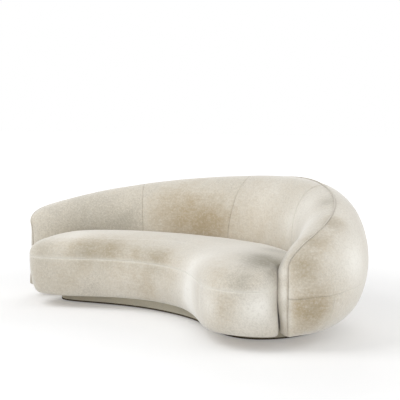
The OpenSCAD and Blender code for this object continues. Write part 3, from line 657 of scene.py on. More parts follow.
@functools.cache
def seat_skin():
    """The seat's swell: columns of its coarse skin, and how far it stands out there."""
    number = np.arange(0, SEAT_N, 1 / SEAT_SKIN_STEPS)
    fields = seat_fields(number)
    col = np.concatenate([seat_columns(a, b, SKIN_STEP)[:-1]
                          for a, b in ((0, 1), (1, 2), (2, MIDDLE_SHARE))] + [[MIDDLE_SHARE]])
    i, c = crossed(number, col)
    points = seat_points(fields, c, 0)
    rear = np.broadcast_to(fields[2][:, None], c.shape)
    beside_back = (rear > 0.5) & (points[..., 2] < SEAT_Z - CONTACT_DROP) & (c < 2)
    held = (c == 0) | (c == 1) | beside_back | ((i == LOBE_NUMBER) & (c < 1))
    return col, swollen("seat_skin", points, held, bpy.context.scene.sofa_sizes.seat_swell / MM, loop=True)


def back_swell(s, c):
    sigma, col, grid = back_skin()
    i, j = np.interp(s, sigma, np.arange(len(sigma))), np.interp(c, col, np.arange(len(col)))
    return sample_grid(grid, i, j, False)


def seat_swell(number, c):
    col, grid = seat_skin()
    j = np.interp(c, col, np.arange(len(col)))
    return sample_grid(grid, np.mod(number, SEAT_N) * SEAT_SKIN_STEPS, j, True)


# Centre and reach in mm before centring, warmth and paleness of each area. Warmth is the brushed pile's tone;
# paleness is partly the brushed pile and partly painted highlight and painted shade where the light falls
NAP_AND_LIGHT_AREAS = [
    # inner back, from its left tip to the arm
    (-930, -50, 470, 190, -0.4, 0.1),
    (-740, 170, 450, 230, -0.9, -0.3),
    (-560, 250, 470, 150, -0.8, -0.4),
    (-790, 180, 620, 160, -0.2, 0.0),
    (-230, 300, 500, 230, 1.0, -0.3),
    (0, 300, 490, 190, 1.6, -0.4),
    (-180, 350, 690, 230, 0.3, 0.1),
    (380, 230, 540, 200, 1.1, 0.5),
    (410, 240, 690, 190, 0.4, 0.5),
    (630, 80, 550, 130, 0.1, 0.8),
    (740, 20, 670, 170, 0.0, 0.7),
    (890, -20, 705, 85, -0.5, -0.8),
    (815, -180, 600, 110, 0.1, 0.7),
    # seat top and its front edge
    (-540, -260, 370, 140, 0.8, -1.1),
    (-380, -210, 375, 140, 1.1, -0.9),
    (-190, -195, 370, 130, 0.6, -0.5),
    (-10, -200, 380, 120, 0.3, -0.1),
    (-660, -170, 430, 140, 0.0, 0.7),
    (-800, -320, 350, 120, 0.1, -0.8),
    (-60, -205, 340, 120, 0.8, -0.8),
    (270, -380, 380, 150, 0.15, 1.0),
    (540, -590, 400, 90, 0.35, -0.1),
    (420, -110, 437, 160, 0.0, 0.3),
    (560, -360, 435, 130, -0.2, -0.3),
    (655, -330, 430, 150, -1.5, -1.1),
    (630, -120, 430, 130, -1.0, -0.7),
    (770, -400, 425, 110, -1.2, -1.2),
    (700, -455, 430, 120, -1.5, -1.0),
    (600, -480, 430, 90, -0.1, -0.1),
    (660, -620, 365, 110, -0.8, -0.5),
    (790, -540, 380, 80, -0.7, 0.3),
    # front band
    (-800, -345, 190, 140, 0.3, -0.4),
    (-640, -310, 200, 140, 0.2, -0.3),
    (-310, -215, 175, 150, 0.7, 0.3),
    (-110, -210, 155, 150, 0.5, -0.1),
    (230, -400, 190, 170, 0.0, 2.1),
    (480, -630, 230, 110, 0.1, 0.8),
    (590, -650, 220, 100, 0.4, -0.3),
    (720, -630, 240, 120, -0.5, 0.8),
    (810, -570, 240, 140, -0.6, 1.2),
    (680, -640, 120, 110, -0.2, 0.4),
    # outer arm and its lower band
    # painted shade on the outer arm just below the welt
    (930, -490, 440, 120, 1.0, -0.8),
    (950, -380, 550, 90, 0.8, -0.7),
    (990, -225, 625, 90, 0.7, -1.0),
    # painted light on the arm nose's face beside the lobe, which lies in shade there
    (842, -492, 400, 55, 0.0, 0.9),
    (835, -500, 290, 60, 0.0, 0.8),
    (845, -500, 170, 60, 0.0, 0.8),
    (1050, -400, 470, 140, 0.0, 0.3),
    # painted highlight along the arm's right edge
    (1040, -120, 630, 190, 0.1, 0.5),
    (1110, -240, 440, 170, 0.1, 1.3),
    (925, -510, 220, 115, 0.9, -0.4),
    (1000, -485, 230, 130, 1.0, -0.5),
]


def brushed(points, k):
    """Soft areas where the pile was brushed, and of painted light: value 4 is warm above 0 and cool below,
    value 5 pale, partly painted highlight above 0 and painted shade below.
    """
    total = np.zeros(points.shape[:-1])
    for area in NAP_AND_LIGHT_AREAS:
        gap = np.linalg.norm(points - np.array(area[:3], float), axis=-1) / area[3]
        total += area[k] * np.exp(-gap * gap * 2)
    return total


# Meshes of the covers and cores

# The bulge of the arm nose beside the lobe, in mm: how far, over what length, between which heights, and
# the width beside the seams in which it sets in
NOSE_SWELL, NOSE_REACH, NOSE_Z, NOSE_START = 19.0, 200.0, (80.0, 280.0, 360.0, 500.0), 34.0
# How upright seams lean: place along the line, places across, and shifts along the line in mm
SEAM_LEANS = [
    (690.0, (1, 2, 3), (20, -29, 0)),
    (1330.0, (1.05, 1.6, 2, 3), (-14, 38, 42, 0)),
    (1880.0, (1, 1.5, 2, 3), (10, -16, -16, 0)),
    (ARM_SEAM, (3, 4, 4.25), (0, 62, 94)),
]
LEAN_REACH = 205.0
# Height of the seam above the lower band's usual edge, along the arm, in mm
SEAM_RISE = ((1650.0, 2080.0, 2220.0, 2340.0, 2460.0), (0.0, 26.0, 28.0, 18.0, 6.0))
# Depth of the tuck where the front turns into the lobe, and its reach along and up; the length there of a
# running number's step and of the rounded edge
TUCK_DEPTH, TUCK_REACH, NUMBER_MM, EDGE_MM = 4.0, (26.0, 42.0), 70.0, 235.0
# How far the painted highlight and painted shade beside a seam reach, where it is pale and where it is dark
SEAM_PAINT_REACH = (7.0, 4.0)


def shell(name, outer, inner, material, loop=False):
    """A piece between an outer grid of points and an inner one, closed at its edges."""
    n, m = outer.shape[:2]
    k = n * m
    faces = grid_faces(n, m, loop=loop) + grid_faces(n, m, k, turned=True, loop=loop)
    if loop:
        faces += [[((i + 1) % n) * m, i * m, i * m + k, ((i + 1) % n) * m + k] for i in range(n)]
    else:
        faces += rim_faces(n, m)
    return mesh_object(name, np.concatenate([outer.reshape(-1, 3), inner.reshape(-1, 3)]), faces, material)


def cover(name, points_at, soft, roll, gaps, loop=False, lip=1.0):
    """A closed cover: its face at its own depth and its lining below it, thinner where it rolls in."""
    outer = points_at(soft + roll)
    inner = points_at(soft + np.maximum(roll + LIP, COVER))
    obj = shell(name, outer, inner, finish_of("brushed_velvet"), loop)
    # Painted highlight on the lip beside a seam where lip is above 0, painted shade in its crease where it is
    # below 0
    nearness = np.exp(-np.minimum.reduce(gaps) / SEAM_PAINT_REACH[lip <= 0])
    point_attribute(obj, "seam", np.concatenate([lip * nearness.ravel(), np.zeros(soft.size)]))
    for key, k in (("nap", 4), ("pale", 5)):
        point_attribute(obj, key, np.concatenate([brushed(outer, k).ravel(), brushed(inner, k).ravel()]))
    if loop:
        fill_openings(obj)
    turn_outwards(obj)
    return obj


def nose_swell(s, z):
    """How far the inner face of the arm nose bulges towards the lobe."""
    return NOSE_SWELL * between(z, NOSE_Z) * smooth((s - LENGTH + NOSE_REACH) / NOSE_REACH)


def back_cover(name, a, b, across, side, step, edges, lip):
    """A panel of the back between two places along the line and two across it."""
    sigma = line_places(a, b, step)
    middle = (max(a, LEFT_ROUND) + min(b, LENGTH - NOSE_ROUND)) / 2
    col = back_columns(middle, *across, step, edges[2], edges[3], side)
    s, c = crossed(sigma, col)
    swell = back_swell(s, np.minimum(c, 5))
    s, c = leaning(s, c), risen(s, behind_crest(s, c))
    base = back_points(s, c, 0, side, True)
    gaps = edge_gaps(base, edges)
    near = np.minimum.reduce(gaps)
    crest = gaps[3] if side < 0 else gaps[2]
    soft = gathers(s, crest, a / 300 + 1) + 0.6 * gathers(c * 300, np.minimum(gaps[0], gaps[1]), 2 + b / 500)
    soft = soft + (unevenness(base) - swell) * (1 - np.exp(-near / SWELL_START))
    soft = np.where(c > 5, 0, soft)
    if side < 0 and b >= LENGTH:
        soft = soft - nose_swell(s, base[..., 2]) * (1 - np.exp(-near / NOSE_START))
    return cover(name, lambda d: back_points(s, c, d, side, True), soft, edge_roll(gaps, SEAM_DEPTH), gaps,
                 lip=lip)


def behind_crest(s, c):
    """Places across the back, shifted near the crest to where its seam lies."""
    return c + crest_shift(s) * np.where(c < 2, np.clip(c - 1, 0, 1), np.clip(3 - c, 0, 1))


def risen(s, c):
    """Places across the back, shifted where the seam of the lower band climbs on the arm."""
    b = bulge_z(station(s)[..., 2])
    low = band_turn(station(s)[..., 2])
    lifted = np.arcsin(np.clip(np.sin(low) - np.interp(s, *SEAM_RISE) / (b - BODY_Z), 0, 1))
    share = 1 - lifted / low
    return c - share * np.where(c < 4, np.clip(c - 3, 0, 1), np.clip(5 - c, 0, 1))


def leaning(s, c):
    """Places along the line, shifted where an upright seam leans."""
    shift = np.zeros(np.broadcast(s, c).shape)
    for place, across, shifts in SEAM_LEANS:
        shift = shift + np.interp(c, across, shifts) * smooth(1 - np.abs(s - place) / LEAN_REACH)
    return s + shift


def tuck(number, c):
    """Depth of the tuck where the straight front turns into the lobe."""
    away, up = (number - LOBE_NUMBER) * NUMBER_MM, (c - 1) * EDGE_MM
    return TUCK_DEPTH * np.exp(-(away / TUCK_REACH[0]) ** 2 - (up / TUCK_REACH[1]) ** 2)


def seat_piece(name, number, col, edges, loop=False):
    """A panel of the seat at running numbers of its outline and places across it."""
    fields = seat_fields(number)
    i, c = crossed(number, col)
    base = seat_points(fields, c, 0)
    gaps = edge_gaps(base, edges)
    near = np.minimum.reduce(gaps)
    seam = gaps[2] if loop else gaps[3]
    soft = gathers(i * NUMBER_MM, seam, 1.3) + tuck(i, c)
    soft = soft + (unevenness(base) - seat_swell(i, np.maximum(c, 0))) * (1 - np.exp(-near / SWELL_START))
    soft = np.where(c < 0, 0, soft)
    lower = 0 if loop else -SEAM_GAP * smooth((c - 0.9) * 10)

    def points_at(d):
        points = seat_points(fields, c, d)
        points[..., 2] += lower
        return points

    # Its seams take cover's painted highlight beside them
    return cover(name, points_at, soft, edge_roll(gaps, SEAT_SEAM_DEPTH), gaps, loop)


def lofted(name, rows, material, loop_rows, loop_columns):
    """A closed piece through rows of points, with its open ends filled."""
    n, m = rows.shape[:2]
    i, j = np.arange(n if loop_rows else n - 1)[:, None], np.arange(m if loop_columns else m - 1)[None, :]
    a, d = i * m + j, ((i + 1) % n) * m + j
    b, e = i * m + (j + 1) % m, ((i + 1) % n) * m + (j + 1) % m
    obj = mesh_object(name, rows, np.stack([a, d, e, b], -1).reshape(-1, 4).tolist(), material)
    fill_openings(obj)
    turn_outwards(obj)
    return obj


# Nodes

class Value:
    """An output of a node: a sign between it and another value or a number adds a math node."""

    def __init__(self, socket):
        self.socket = socket

    def op(self, operation, other=0.0):
        return calc(self.socket.id_data, operation, self, other)

    def __add__(self, other):
        return self.op("ADD", other)

    def __sub__(self, other):
        return self.op("SUBTRACT", other)

    def __rsub__(self, other):
        return calc(self.socket.id_data, "SUBTRACT", other, self)

    def __mul__(self, other):
        return self.op("MULTIPLY", other)

    def held(self):
        """The value, kept between 0 and 1 by its own node."""
        self.socket.node.use_clamp = True
        return self

    def waves(self, length):
        """Sine waves of a length along the value."""
        return (self * (2 * math.pi / length)).op("SINE")


def node(tree, kind, inputs=None, **settings):
    """Adds a node, sets it, and links or sets its inputs."""
    made = tree.nodes.new(kind)
    for key, value in settings.items():
        setattr(made, key, value)
    for key, value in (inputs or {}).items():
        value = value.socket if isinstance(value, Value) else value
        if isinstance(value, bpy.types.NodeSocket):
            tree.links.new(value, made.inputs[key])
        else:
            made.inputs[key].default_value = value
    return made


def calc(tree, operation, a, b=0.0):
    return Value(node(tree, "ShaderNodeMath", {0: a, 1: b}, operation=operation).outputs[0])


def blended(tree, factor, a, b):
    """A colour between two colours."""
    return Value(node(tree, "ShaderNodeMix", {0: factor, 6: a, 7: b}, data_type="RGBA").outputs[2])


def noise(tree, place, scale, detail=2.0, rough=0.5, distort=0.0):
    return Value(node(tree, "ShaderNodeTexNoise", {
        "Vector": place, "Scale": scale, "Detail": detail, "Roughness": rough,
        "Distortion": distort}).outputs["Fac"])


def stretched(tree, place, scale):
    """A place stretched by a scale along each axis."""
    return Value(node(tree, "ShaderNodeMapping", {"Vector": place, "Scale": scale}).outputs["Vector"])


def upward(tree, vector):
    """The upright part of a vector."""
    return Value(node(tree, "ShaderNodeSeparateXYZ", {"Vector": vector}).outputs["Z"])


def attribute_value(tree, name):
    return Value(node(tree, "ShaderNodeAttribute", attribute_name=name).outputs["Fac"])


def named_tree(name, kind, inputs, outputs):
    """An empty node tree with named sockets: the tree, what it is given, its end, its inputs' identifiers."""
    tree = bpy.data.node_groups.new(name, kind)
    names = {}
    for label, sort, value in inputs:
        socket = tree.interface.new_socket(label, in_out="INPUT", socket_type="NodeSocket" + sort)
        if value is not None:
            socket.default_value = value
        names[label] = socket.identifier
    for label, sort in outputs:
        tree.interface.new_socket(label, in_out="OUTPUT", socket_type="NodeSocket" + sort)
    given = {socket.name: Value(socket) for socket in tree.nodes.new("NodeGroupInput").outputs if socket.name}
    return tree, given, tree.nodes.new("NodeGroupOutput"), names


# Shared shader groups

# Dark tones of the pile: between its tufts, painted shade where it lies in shade, in its flecks, and painted
# shade in a seam's crease
TUFT_DARK, SHADE_DARK = (0.25, 0.21, 0.16, 1), (0.3, 0.27, 0.2, 1)
FLECK_DARK, PAINTED_CREASE_SHADE = (0.3, 0.26, 0.19, 1), (0.2, 0.16, 0.11, 1)
FLECK_SHARE = 1.1


def pile_tones(tree, given):
    """Short pile brushed this way and that: patches, streaks and speckles of three tones, with painted
    highlight and painted shade from the paleness and the seams.
    """
    place, pale, seam, lip = (given[label] for label in ("Place", "Pale", "Seam", "Lip"))
    broad = noise(tree, place, 3.1, 3.0, 0.55, 0.8)
    patch = noise(tree, place, 11.0, 4.0, 0.6, 1.2)
    streak = noise(tree, stretched(tree, place, (20, 20, 120)), 1.0, 3.0, 0.6, 0.6)
    fleck = noise(tree, place, 85.0, 4.0, 0.75)
    pile = noise(tree, place, given["Pile size"], 2.0, 0.6)
    tuft = noise(tree, place, 190.0, 3.0, 0.65)
    lean = (broad - 0.5) * 1.1 + (patch - 0.5) * 0.6 + (streak - 0.5) * 0.6 + (tuft - 0.5) * 1.4
    ragged = (patch + streak) * 0.28 + 0.3
    lean = lean * given["Contrast"] + given["Brushed"] * ragged
    colour = blended(tree, (lean * 1.0).held(), given["Cream"], given["Sand"])
    colour = blended(tree, (lean * -1.0).held(), colour, given["Grey"])
    deep = ((0.57 - (pile * 0.5 + tuft * 0.5)) * 2.2).held()
    colour = blended(tree, deep, colour, blended(tree, 0.5, colour, TUFT_DARK))
    # Painted highlight and painted shade from the paleness, the pile's own pale and dark flecks, then painted
    # shade in a seam's crease and painted highlight on its lip
    for share, tone in (((pale * 0.6).held(), lip), ((pale * -0.4).held(), SHADE_DARK),
                        (((fleck - 0.5) * FLECK_SHARE).held(), lip),
                        (((0.5 - fleck) * FLECK_SHARE).held(), FLECK_DARK),
                        ((seam * -1.0).held(), PAINTED_CREASE_SHADE), (seam * 0.5, lip)):
        colour = blended(tree, share, colour, tone)
    # Rim is the share of painted sheen, less where the paleness paints shade
    return {"Colour": colour, "Height": pile * 0.35 + tuft * 0.45 + patch * 0.6,
            "Rim": (pale * 0.6 + 1.0).held(), "Roughness": tuft * 0.14 + 0.82}


def wear_mask(tree, given):
    """Handling marks: pale rubbed spots and grey dust, as a mask."""
    spots = noise(tree, given["Place"], given["Scale"], 5.0, 0.65, 0.4)
    return {"Mask": ((spots - 0.52) * 4.0).held() * given["Amount"]}


def grain_tones(tree, given):
    """Wood grain: long streaks, fine pores and the lines of plies stacked up."""
    place = given["Place"]
    streaks = noise(tree, stretched(tree, place, (8, 90, 90)), 1.0, 4.0, 0.6, 1.0)
    pores = noise(tree, stretched(tree, place, (160, 900, 900)), 1.0, 2.0, 0.5)
    plies = (upward(tree, place) * math.pi).op("DIVIDE", given["Ply"]).op("SINE")
    facing = upward(tree, node(tree, "ShaderNodeNewGeometry").outputs["Normal"])
    edge = (1.0 - facing.op("ABSOLUTE")).held()
    tone = (streaks * 0.8 + pores * 0.3 + plies * 0.35 * edge).held()
    return {"Colour": blended(tree, tone, given["Light"], given["Dark"]), "Height": tone}


GROUPS = {
    "Brushed pile": (pile_tones, [
        # Pale is the brushed pile's paleness and painted light, painted shade below 0; Seam is painted
        # highlight above 0 and painted shade below 0 beside a seam
        ("Place", "Vector", None), ("Brushed", "Float", 0.0), ("Pale", "Float", 0.0), ("Seam", "Float", 0.0),
        ("Cream", "Color", (0.8, 0.76, 0.7, 1)), ("Sand", "Color", (0.6, 0.5, 0.4, 1)),
        # Lip is the pale tone of the painted highlights on seam lips and paler areas, and of the pile's pale
        # flecks
        ("Grey", "Color", (0.6, 0.6, 0.56, 1)), ("Lip", "Color", (0.97, 0.95, 0.885, 1)),
        ("Pile size", "Float", 700.0), ("Contrast", "Float", 1.0)],
        # Rim is the share of painted sheen
        [("Colour", "Color"), ("Height", "Float"), ("Roughness", "Float"), ("Rim", "Float")]),
    "Handling marks": (wear_mask, [
        ("Place", "Vector", None), ("Scale", "Float", 30.0), ("Amount", "Float", 0.5)], [("Mask", "Float")]),
    "Ply grain": (grain_tones, [
        ("Place", "Vector", None), ("Light", "Color", (0.8, 0.68, 0.49, 1)),
        ("Dark", "Color", (0.6, 0.46, 0.29, 1)), ("Ply", "Float", 0.0015)],
        [("Colour", "Color"), ("Height", "Float")]),
}


def placed_group(tree, name, inputs):
    """The outputs of a shared group in a material; the group is built the first time."""
    if name not in bpy.data.node_groups:
        build, sockets, outputs = GROUPS[name]
        group, given, out, _ = named_tree(name, "ShaderNodeTree", sockets, outputs)
        for label, value in build(group, given).items():
            group.links.new(value.socket, out.inputs[label])
    made = node(tree, "ShaderNodeGroup", inputs, node_tree=bpy.data.node_groups[name])
    return {socket.name: Value(socket) for socket in made.outputs}


# Materials: each maker gives a colour, a roughness, a height, and the bump's distance and strength

# Painted sheen: a pale colour blended in where the surface turns away from the view
PAINTED_SHEEN_SHARE, PAINTED_SHEEN_POWER, PAINTED_SHEEN_BLEND, PAINTED_SHEEN_COLOUR = 0.85, 1.8, 0.35, (0.93, 0.91, 0.86, 1)
FOLD_STEP, RIB_STEP, WEAVE_STEP = 0.009, 0.0022, 0.0016
STRAP_THREADS = 22


def painted_sheen_rim(tree, colour, share=1.0):
    """The colour with a painted sheen, paler where the pile is seen from its side, and less so where it lies
    away.
    """
    facing = Value(node(tree, "ShaderNodeLayerWeight", {"Blend": PAINTED_SHEEN_BLEND}).outputs["Facing"])
    return blended(tree, (facing.op("POWER", PAINTED_SHEEN_POWER) * PAINTED_SHEEN_SHARE).held() * share, colour, PAINTED_SHEEN_COLOUR)


def worn(tree, place, colour, mark, scale, amount):
    """The colour with handling marks of another colour."""
    mask = placed_group(tree, "Handling marks", {"Place": place, "Scale": scale, "Amount": amount})["Mask"]
    return blended(tree, mask, colour, mark)


def velvet_pile(tree, place, cream, inputs):
    """The brushed pile in the sofa's colours."""
    colours = bpy.context.scene.sofa_colours
    return placed_group(tree, "Brushed pile", {
        "Place": place, "Cream": (*cream, 1), "Sand": (*colours.sand, 1), "Grey": (*colours.grey, 1),
        **inputs})


def velvet(tree, place):
    """Cream velvet with warm and cool areas where its pile was brushed, painted highlight and painted shade
    in some areas and beside its seams, and a painted sheen at its rims.
    """
    pile = velvet_pile(tree, place, bpy.context.scene.sofa_colours.cream, {
        label: attribute_value(tree, name)
        for label, name in (("Brushed", "nap"), ("Pale", "pale"), ("Seam", "seam"))})
    return painted_sheen_rim(tree, pile["Colour"], pile["Rim"]), pile["Roughness"], pile["Height"], 0.0022, 0.55


def welt_cloth(tree, place):
    """Velvet drawn tight over the cord of the welt, in small folds, with a painted sheen at its sides."""
    pile = velvet_pile(tree, place, bpy.context.scene.sofa_colours.welt,
                       {"Pile size": 900.0, "Contrast": 0.6})
    height = pile["Height"] + attribute_value(tree, "along").waves(FOLD_STEP) * 0.12
    return painted_sheen_rim(tree, pile["Colour"]), pile["Roughness"], height, 0.0015, 0.5


def cut_foam(tree, place):
    """Open-celled foam, pale yellow with darker cells."""
    cells = Value(node(tree, "ShaderNodeTexVoronoi", {"Vector": place, "Scale": 420.0}).outputs["Distance"])
    broad = noise(tree, place, 9.0, 3.0)
    colour = blended(tree, (cells * 0.7 + broad * 0.3).held(), (0.62, 0.52, 0.3, 1), (0.9, 0.84, 0.62, 1))
    return colour, broad * 0.1 + 0.85, cells, 0.0012, 0.6


def fibres(dark, light, scale, distance):
    """A maker of matted or spun fibres that lie across each other."""
    def make(tree, place):
        one, two = (noise(tree, stretched(tree, place, ways), 1.0, 3.0, 0.7, 1.5)
                    for ways in ((scale, scale * 0.12, scale), (scale * 0.12, scale, scale)))
        tone = (one + two) * 0.5
        return blended(tree, tone, (*dark, 1), (*light, 1)), tone * 0.18 + 0.8, tone, distance, 0.6
    return make


def webbing_cloth(tree, _):
    """Elastic webbing: a rib across every two millimetres and two stripes along it."""
    across = attribute_value(tree, "across")
    ribs, threads = attribute_value(tree, "along").waves(RIB_STEP), across.waves(1 / STRAP_THREADS)
    stripe = ((across - 0.5).op("ABSOLUTE") - 0.28).op("ABSOLUTE").op("LESS_THAN", 0.03)
    tone = (ribs * threads + 1.0) * 0.5
    colour = blended(tree, tone, (0.03, 0.03, 0.033, 1), (0.1, 0.1, 0.11, 1))
    return blended(tree, stripe, colour, (0.5, 0.18, 0.1, 1)), tone * 0.15 + 0.7, tone, 0.0006, 0.6


def facing_cloth(tree, place):
    """Close-woven taupe cloth over the plinth."""
    warp, weft = attribute_value(tree, "along").waves(WEAVE_STEP), upward(tree, place).waves(WEAVE_STEP)
    slub = noise(tree, stretched(tree, place, (40, 40, 500)), 1.0, 2.0)
    tone = ((warp * weft + 1.0) * 0.5 * 0.5 + slub * 0.4).held()
    base = (*bpy.context.scene.sofa_colours.plinth, 1)
    colour = blended(tree, tone, blended(tree, 0.4, base, (0.1, 0.09, 0.06, 1)), base)
    return worn(tree, place, colour, (0.5, 0.47, 0.41, 1), 18.0, 0.5), slub * 0.15 + 0.75, tone, 0.0005, 0.5


def shadow_tape_tones(tree, place):
    """Dark woven tape, painted shadow along the head and the foot of the plinth."""
    weave = noise(tree, stretched(tree, place, (900, 900, 2600)), 1.0, 2.0, 0.5)
    return blended(tree, weave, (0.045, 0.035, 0.024, 1), (0.13, 0.105, 0.075, 1)), None, weave, 0.0004, 0.6


def birch_ply(tree, place):
    """Raw birch ply, its plies showing on the edges."""
    grain = placed_group(tree, "Ply grain", {"Place": place})
    colour = worn(tree, place, grain["Colour"], (0.55, 0.44, 0.3, 1), 9.0, 0.35)
    return colour, grain["Height"] * 0.25 + 0.5, grain["Height"], 0.0003, 0.6


def zinc_steel(tree, place):
    """Zinc-plated steel, brushed and a little dull in spots."""
    lines = noise(tree, stretched(tree, place, (1500, 90, 1500)), 1.0, 2.0)
    colour = worn(tree, place, (0.68, 0.69, 0.71, 1), (0.48, 0.49, 0.5, 1), 120.0, 0.6)
    return colour, lines * 0.3 + 0.25, lines, 0.0001, 0.3


def moulded_nylon(tree, place):
    """Black moulded nylon with a fine spark finish and pale scuffs."""
    grain = noise(tree, place, 2200.0, 2.0)
    colour = worn(tree, place, (0.03, 0.03, 0.032, 1), (0.14, 0.14, 0.14, 1), 90.0, 0.5)
    return colour, grain * 0.2 + 0.4, grain, 0.0002, 0.5


SOFT_SHINE = {"Specular IOR Level": 0.2}
FIBRE_SHEEN = {**SOFT_SHINE, "Sheen Weight": 0.1}
MAKERS = {
    "brushed_velvet": (velvet, {"Sheen Weight": 0.35, "Sheen Roughness": 0.4, "Specular IOR Level": 0.12}),
    "welt_velvet": (welt_cloth, {"Sheen Weight": 0.25, "Sheen Roughness": 0.45, "Specular IOR Level": 0.12}),
    "dark_binding": (shadow_tape_tones, {**SOFT_SHINE, "Roughness": 0.85}),
    "cut_foam": (cut_foam, SOFT_SHINE),
    "needle_felt": (fibres((0.2, 0.2, 0.195), (0.5, 0.5, 0.48), 700.0, 0.0008), FIBRE_SHEEN),
    "spun_cloth": (fibres((0.015, 0.015, 0.015), (0.07, 0.07, 0.07), 500.0, 0.0003), FIBRE_SHEEN),
    "ribbed_webbing": (webbing_cloth, {"Specular IOR Level": 0.25}),
    "plinth_cloth": (facing_cloth, FIBRE_SHEEN),
    "raw_ply": (birch_ply, {"Specular IOR Level": 0.35}),
    "zinc_steel": (zinc_steel, {"Metallic": 1.0}),
    "moulded_nylon": (moulded_nylon, {"Specular IOR Level": 0.4}),
}


def finish_of(name):
    """The named material, made the first time it is asked for."""
    if name in bpy.data.materials:
        return bpy.data.materials[name]
    make, constants = MAKERS[name]
    material = bpy.data.materials.new(name)
    material.use_nodes = True
    tree = material.node_tree
    shader = tree.nodes["Principled BSDF"]
    for label, value in constants.items():
        shader.inputs[label].default_value = value
    place = Value(node(tree, "ShaderNodeTexCoord").outputs["Object"])
    colour, rough, height, distance, strength = make(tree, place)
    bump = node(tree, "ShaderNodeBump", {"Height": height, "Distance": distance, "Strength": strength})
    normal = Value(bump.outputs["Normal"])
    for label, value in (("Base Color", colour), ("Roughness", rough), ("Normal", normal)):
        if value:
            tree.links.new(value.socket, shader.inputs[label])
    return material


# Pieces that follow a path, made by geometry nodes

def geometry_tree(name, inputs):
    """An empty geometry tree with named inputs, and the identifiers of those inputs."""
    return named_tree(name, "GeometryNodeTree", [("Geometry", "Geometry", None), *inputs,
                                                 ("Material", "Material", None)], [("Geometry", "Geometry")])


def end_tree(tree, given, out, shape):
    """Ends a tree in one real mesh with its material."""
    real = node(tree, "GeometryNodeRealizeInstances", {"Geometry": shape})
    dressed = node(tree, "GeometryNodeSetMaterial", {
        "Geometry": real.outputs[0], "Material": given["Material"]})
    tree.links.new(dressed.outputs[0], out.inputs["Geometry"])


def sweep_tree():
    """A tube along a curve, round or flat, with its length stored as an attribute."""
    tree, given, out, names = geometry_tree("Sweep along a line", [
        ("Width", "Float", 0.007), ("Thickness", "Float", 0.007), ("Sides", "Int", 12)])
    length = node(tree, "GeometryNodeSplineParameter").outputs["Length"]
    path = node(tree, "GeometryNodeCaptureAttribute", {"Geometry": given["Geometry"]}, domain="POINT")
    path.capture_items.new("FLOAT", "along")
    tree.links.new(length, path.inputs[1])
    ring = node(tree, "GeometryNodeCurvePrimitiveCircle", {"Resolution": given["Sides"], "Radius": 0.5})
    turn = node(tree, "GeometryNodeSplineParameter").outputs["Factor"]
    size = node(tree, "ShaderNodeCombineXYZ", {"X": given["Thickness"], "Y": given["Width"], "Z": 1.0})
    shaped = node(tree, "GeometryNodeTransform", {
        "Geometry": ring.outputs["Curve"], "Scale": size.outputs[0]})
    around = node(tree, "GeometryNodeCaptureAttribute", {"Geometry": shaped.outputs[0]}, domain="POINT")
    around.capture_items.new("FLOAT", "across")
    tree.links.new(turn, around.inputs[1])
    tube = node(tree, "GeometryNodeCurveToMesh", {
        "Curve": path.outputs[0], "Profile Curve": around.outputs[0], "Fill Caps": True})
    shape = tube.outputs[0]
    for label, value in (("along", path.outputs[1]), ("across", around.outputs[1])):
        shape = node(tree, "GeometryNodeStoreNamedAttribute", {
            "Geometry": shape, "Name": label, "Value": value}, data_type="FLOAT", domain="POINT").outputs[0]
    end_tree(tree, given, out, node(tree, "GeometryNodeSetShadeSmooth", {"Geometry": shape}).outputs[0])
    return tree, names


def staple_tree():
    """Staples at an even step along a line: a crown and two legs that go up into the board."""
    tree, given, out, names = geometry_tree("Staples along a line", [
        ("Step", "Float", 0.06), ("Crown", "Float", 0.011), ("Wire", "Float", 0.0009),
        ("Leg", "Float", 0.006)])
    spots = node(tree, "GeometryNodeResampleCurve", {"Curve": given["Geometry"], "Length": given["Step"]},
                 mode="LENGTH")
    wire, crown, leg = (given[label] for label in ("Wire", "Crown", "Leg"))

    def joined(x, y, z):
        return node(tree, "ShaderNodeCombineXYZ", {"X": x, "Y": y, "Z": z}).outputs[0]

    parts = [node(tree, "GeometryNodeMeshCube", {"Size": joined(crown, wire, wire)}).outputs[0]]
    for side in (-0.5, 0.5):
        post = node(tree, "GeometryNodeMeshCube", {"Size": joined(wire, wire, leg)}).outputs[0]
        parts.append(node(tree, "GeometryNodeTransform", {
            "Geometry": post, "Translation": joined(crown * side, 0.0, leg * 0.5)}).outputs[0])
    staple = tree.nodes.new("GeometryNodeJoinGeometry")
    for part in parts:
        tree.links.new(part, staple.inputs[0])
    turned = node(tree, "FunctionNodeAlignRotationToVector", {
        "Vector": node(tree, "GeometryNodeInputTangent").outputs[0]}, axis="X", pivot_axis="Z")
    placed = node(tree, "GeometryNodeInstanceOnPoints", {
        "Points": spots.outputs[0], "Instance": staple.outputs[0], "Rotation": turned.outputs[0]})
    end_tree(tree, given, out, placed.outputs[0])
    return tree, names


def along_paths(name, paths, tree, names, values, closed=False):
    """A plain mesh that a geometry tree makes along paths, given in mm before centring."""
    curve = bpy.data.curves.new(name + "_path", "CURVE")
    curve.dimensions = "3D"
    for path in paths:
        path = np.asarray(path, float).copy()
        path[:, :2] -= CENTRE
        line = curve.splines.new("POLY")
        line.points.add(len(path) - 1)
        line.points.foreach_set("co", np.c_[path * MM, np.ones(len(path))].ravel())
        line.use_cyclic_u = closed
    holder = linked(name + "_path", curve)
    made = holder.modifiers.new("Shape", "NODES")
    made.node_group = tree
    for label, value in values.items():
        made[names[label]] = value
    holder.update_tag()
    evaluated = holder.evaluated_get(bpy.context.evaluated_depsgraph_get())
    mesh = bpy.data.meshes.new_from_object(evaluated)
    holder.modifiers.remove(made)
    bpy.data.objects.remove(holder)
    mesh.name = name
    return linked(name, mesh)


# Paths and outlines

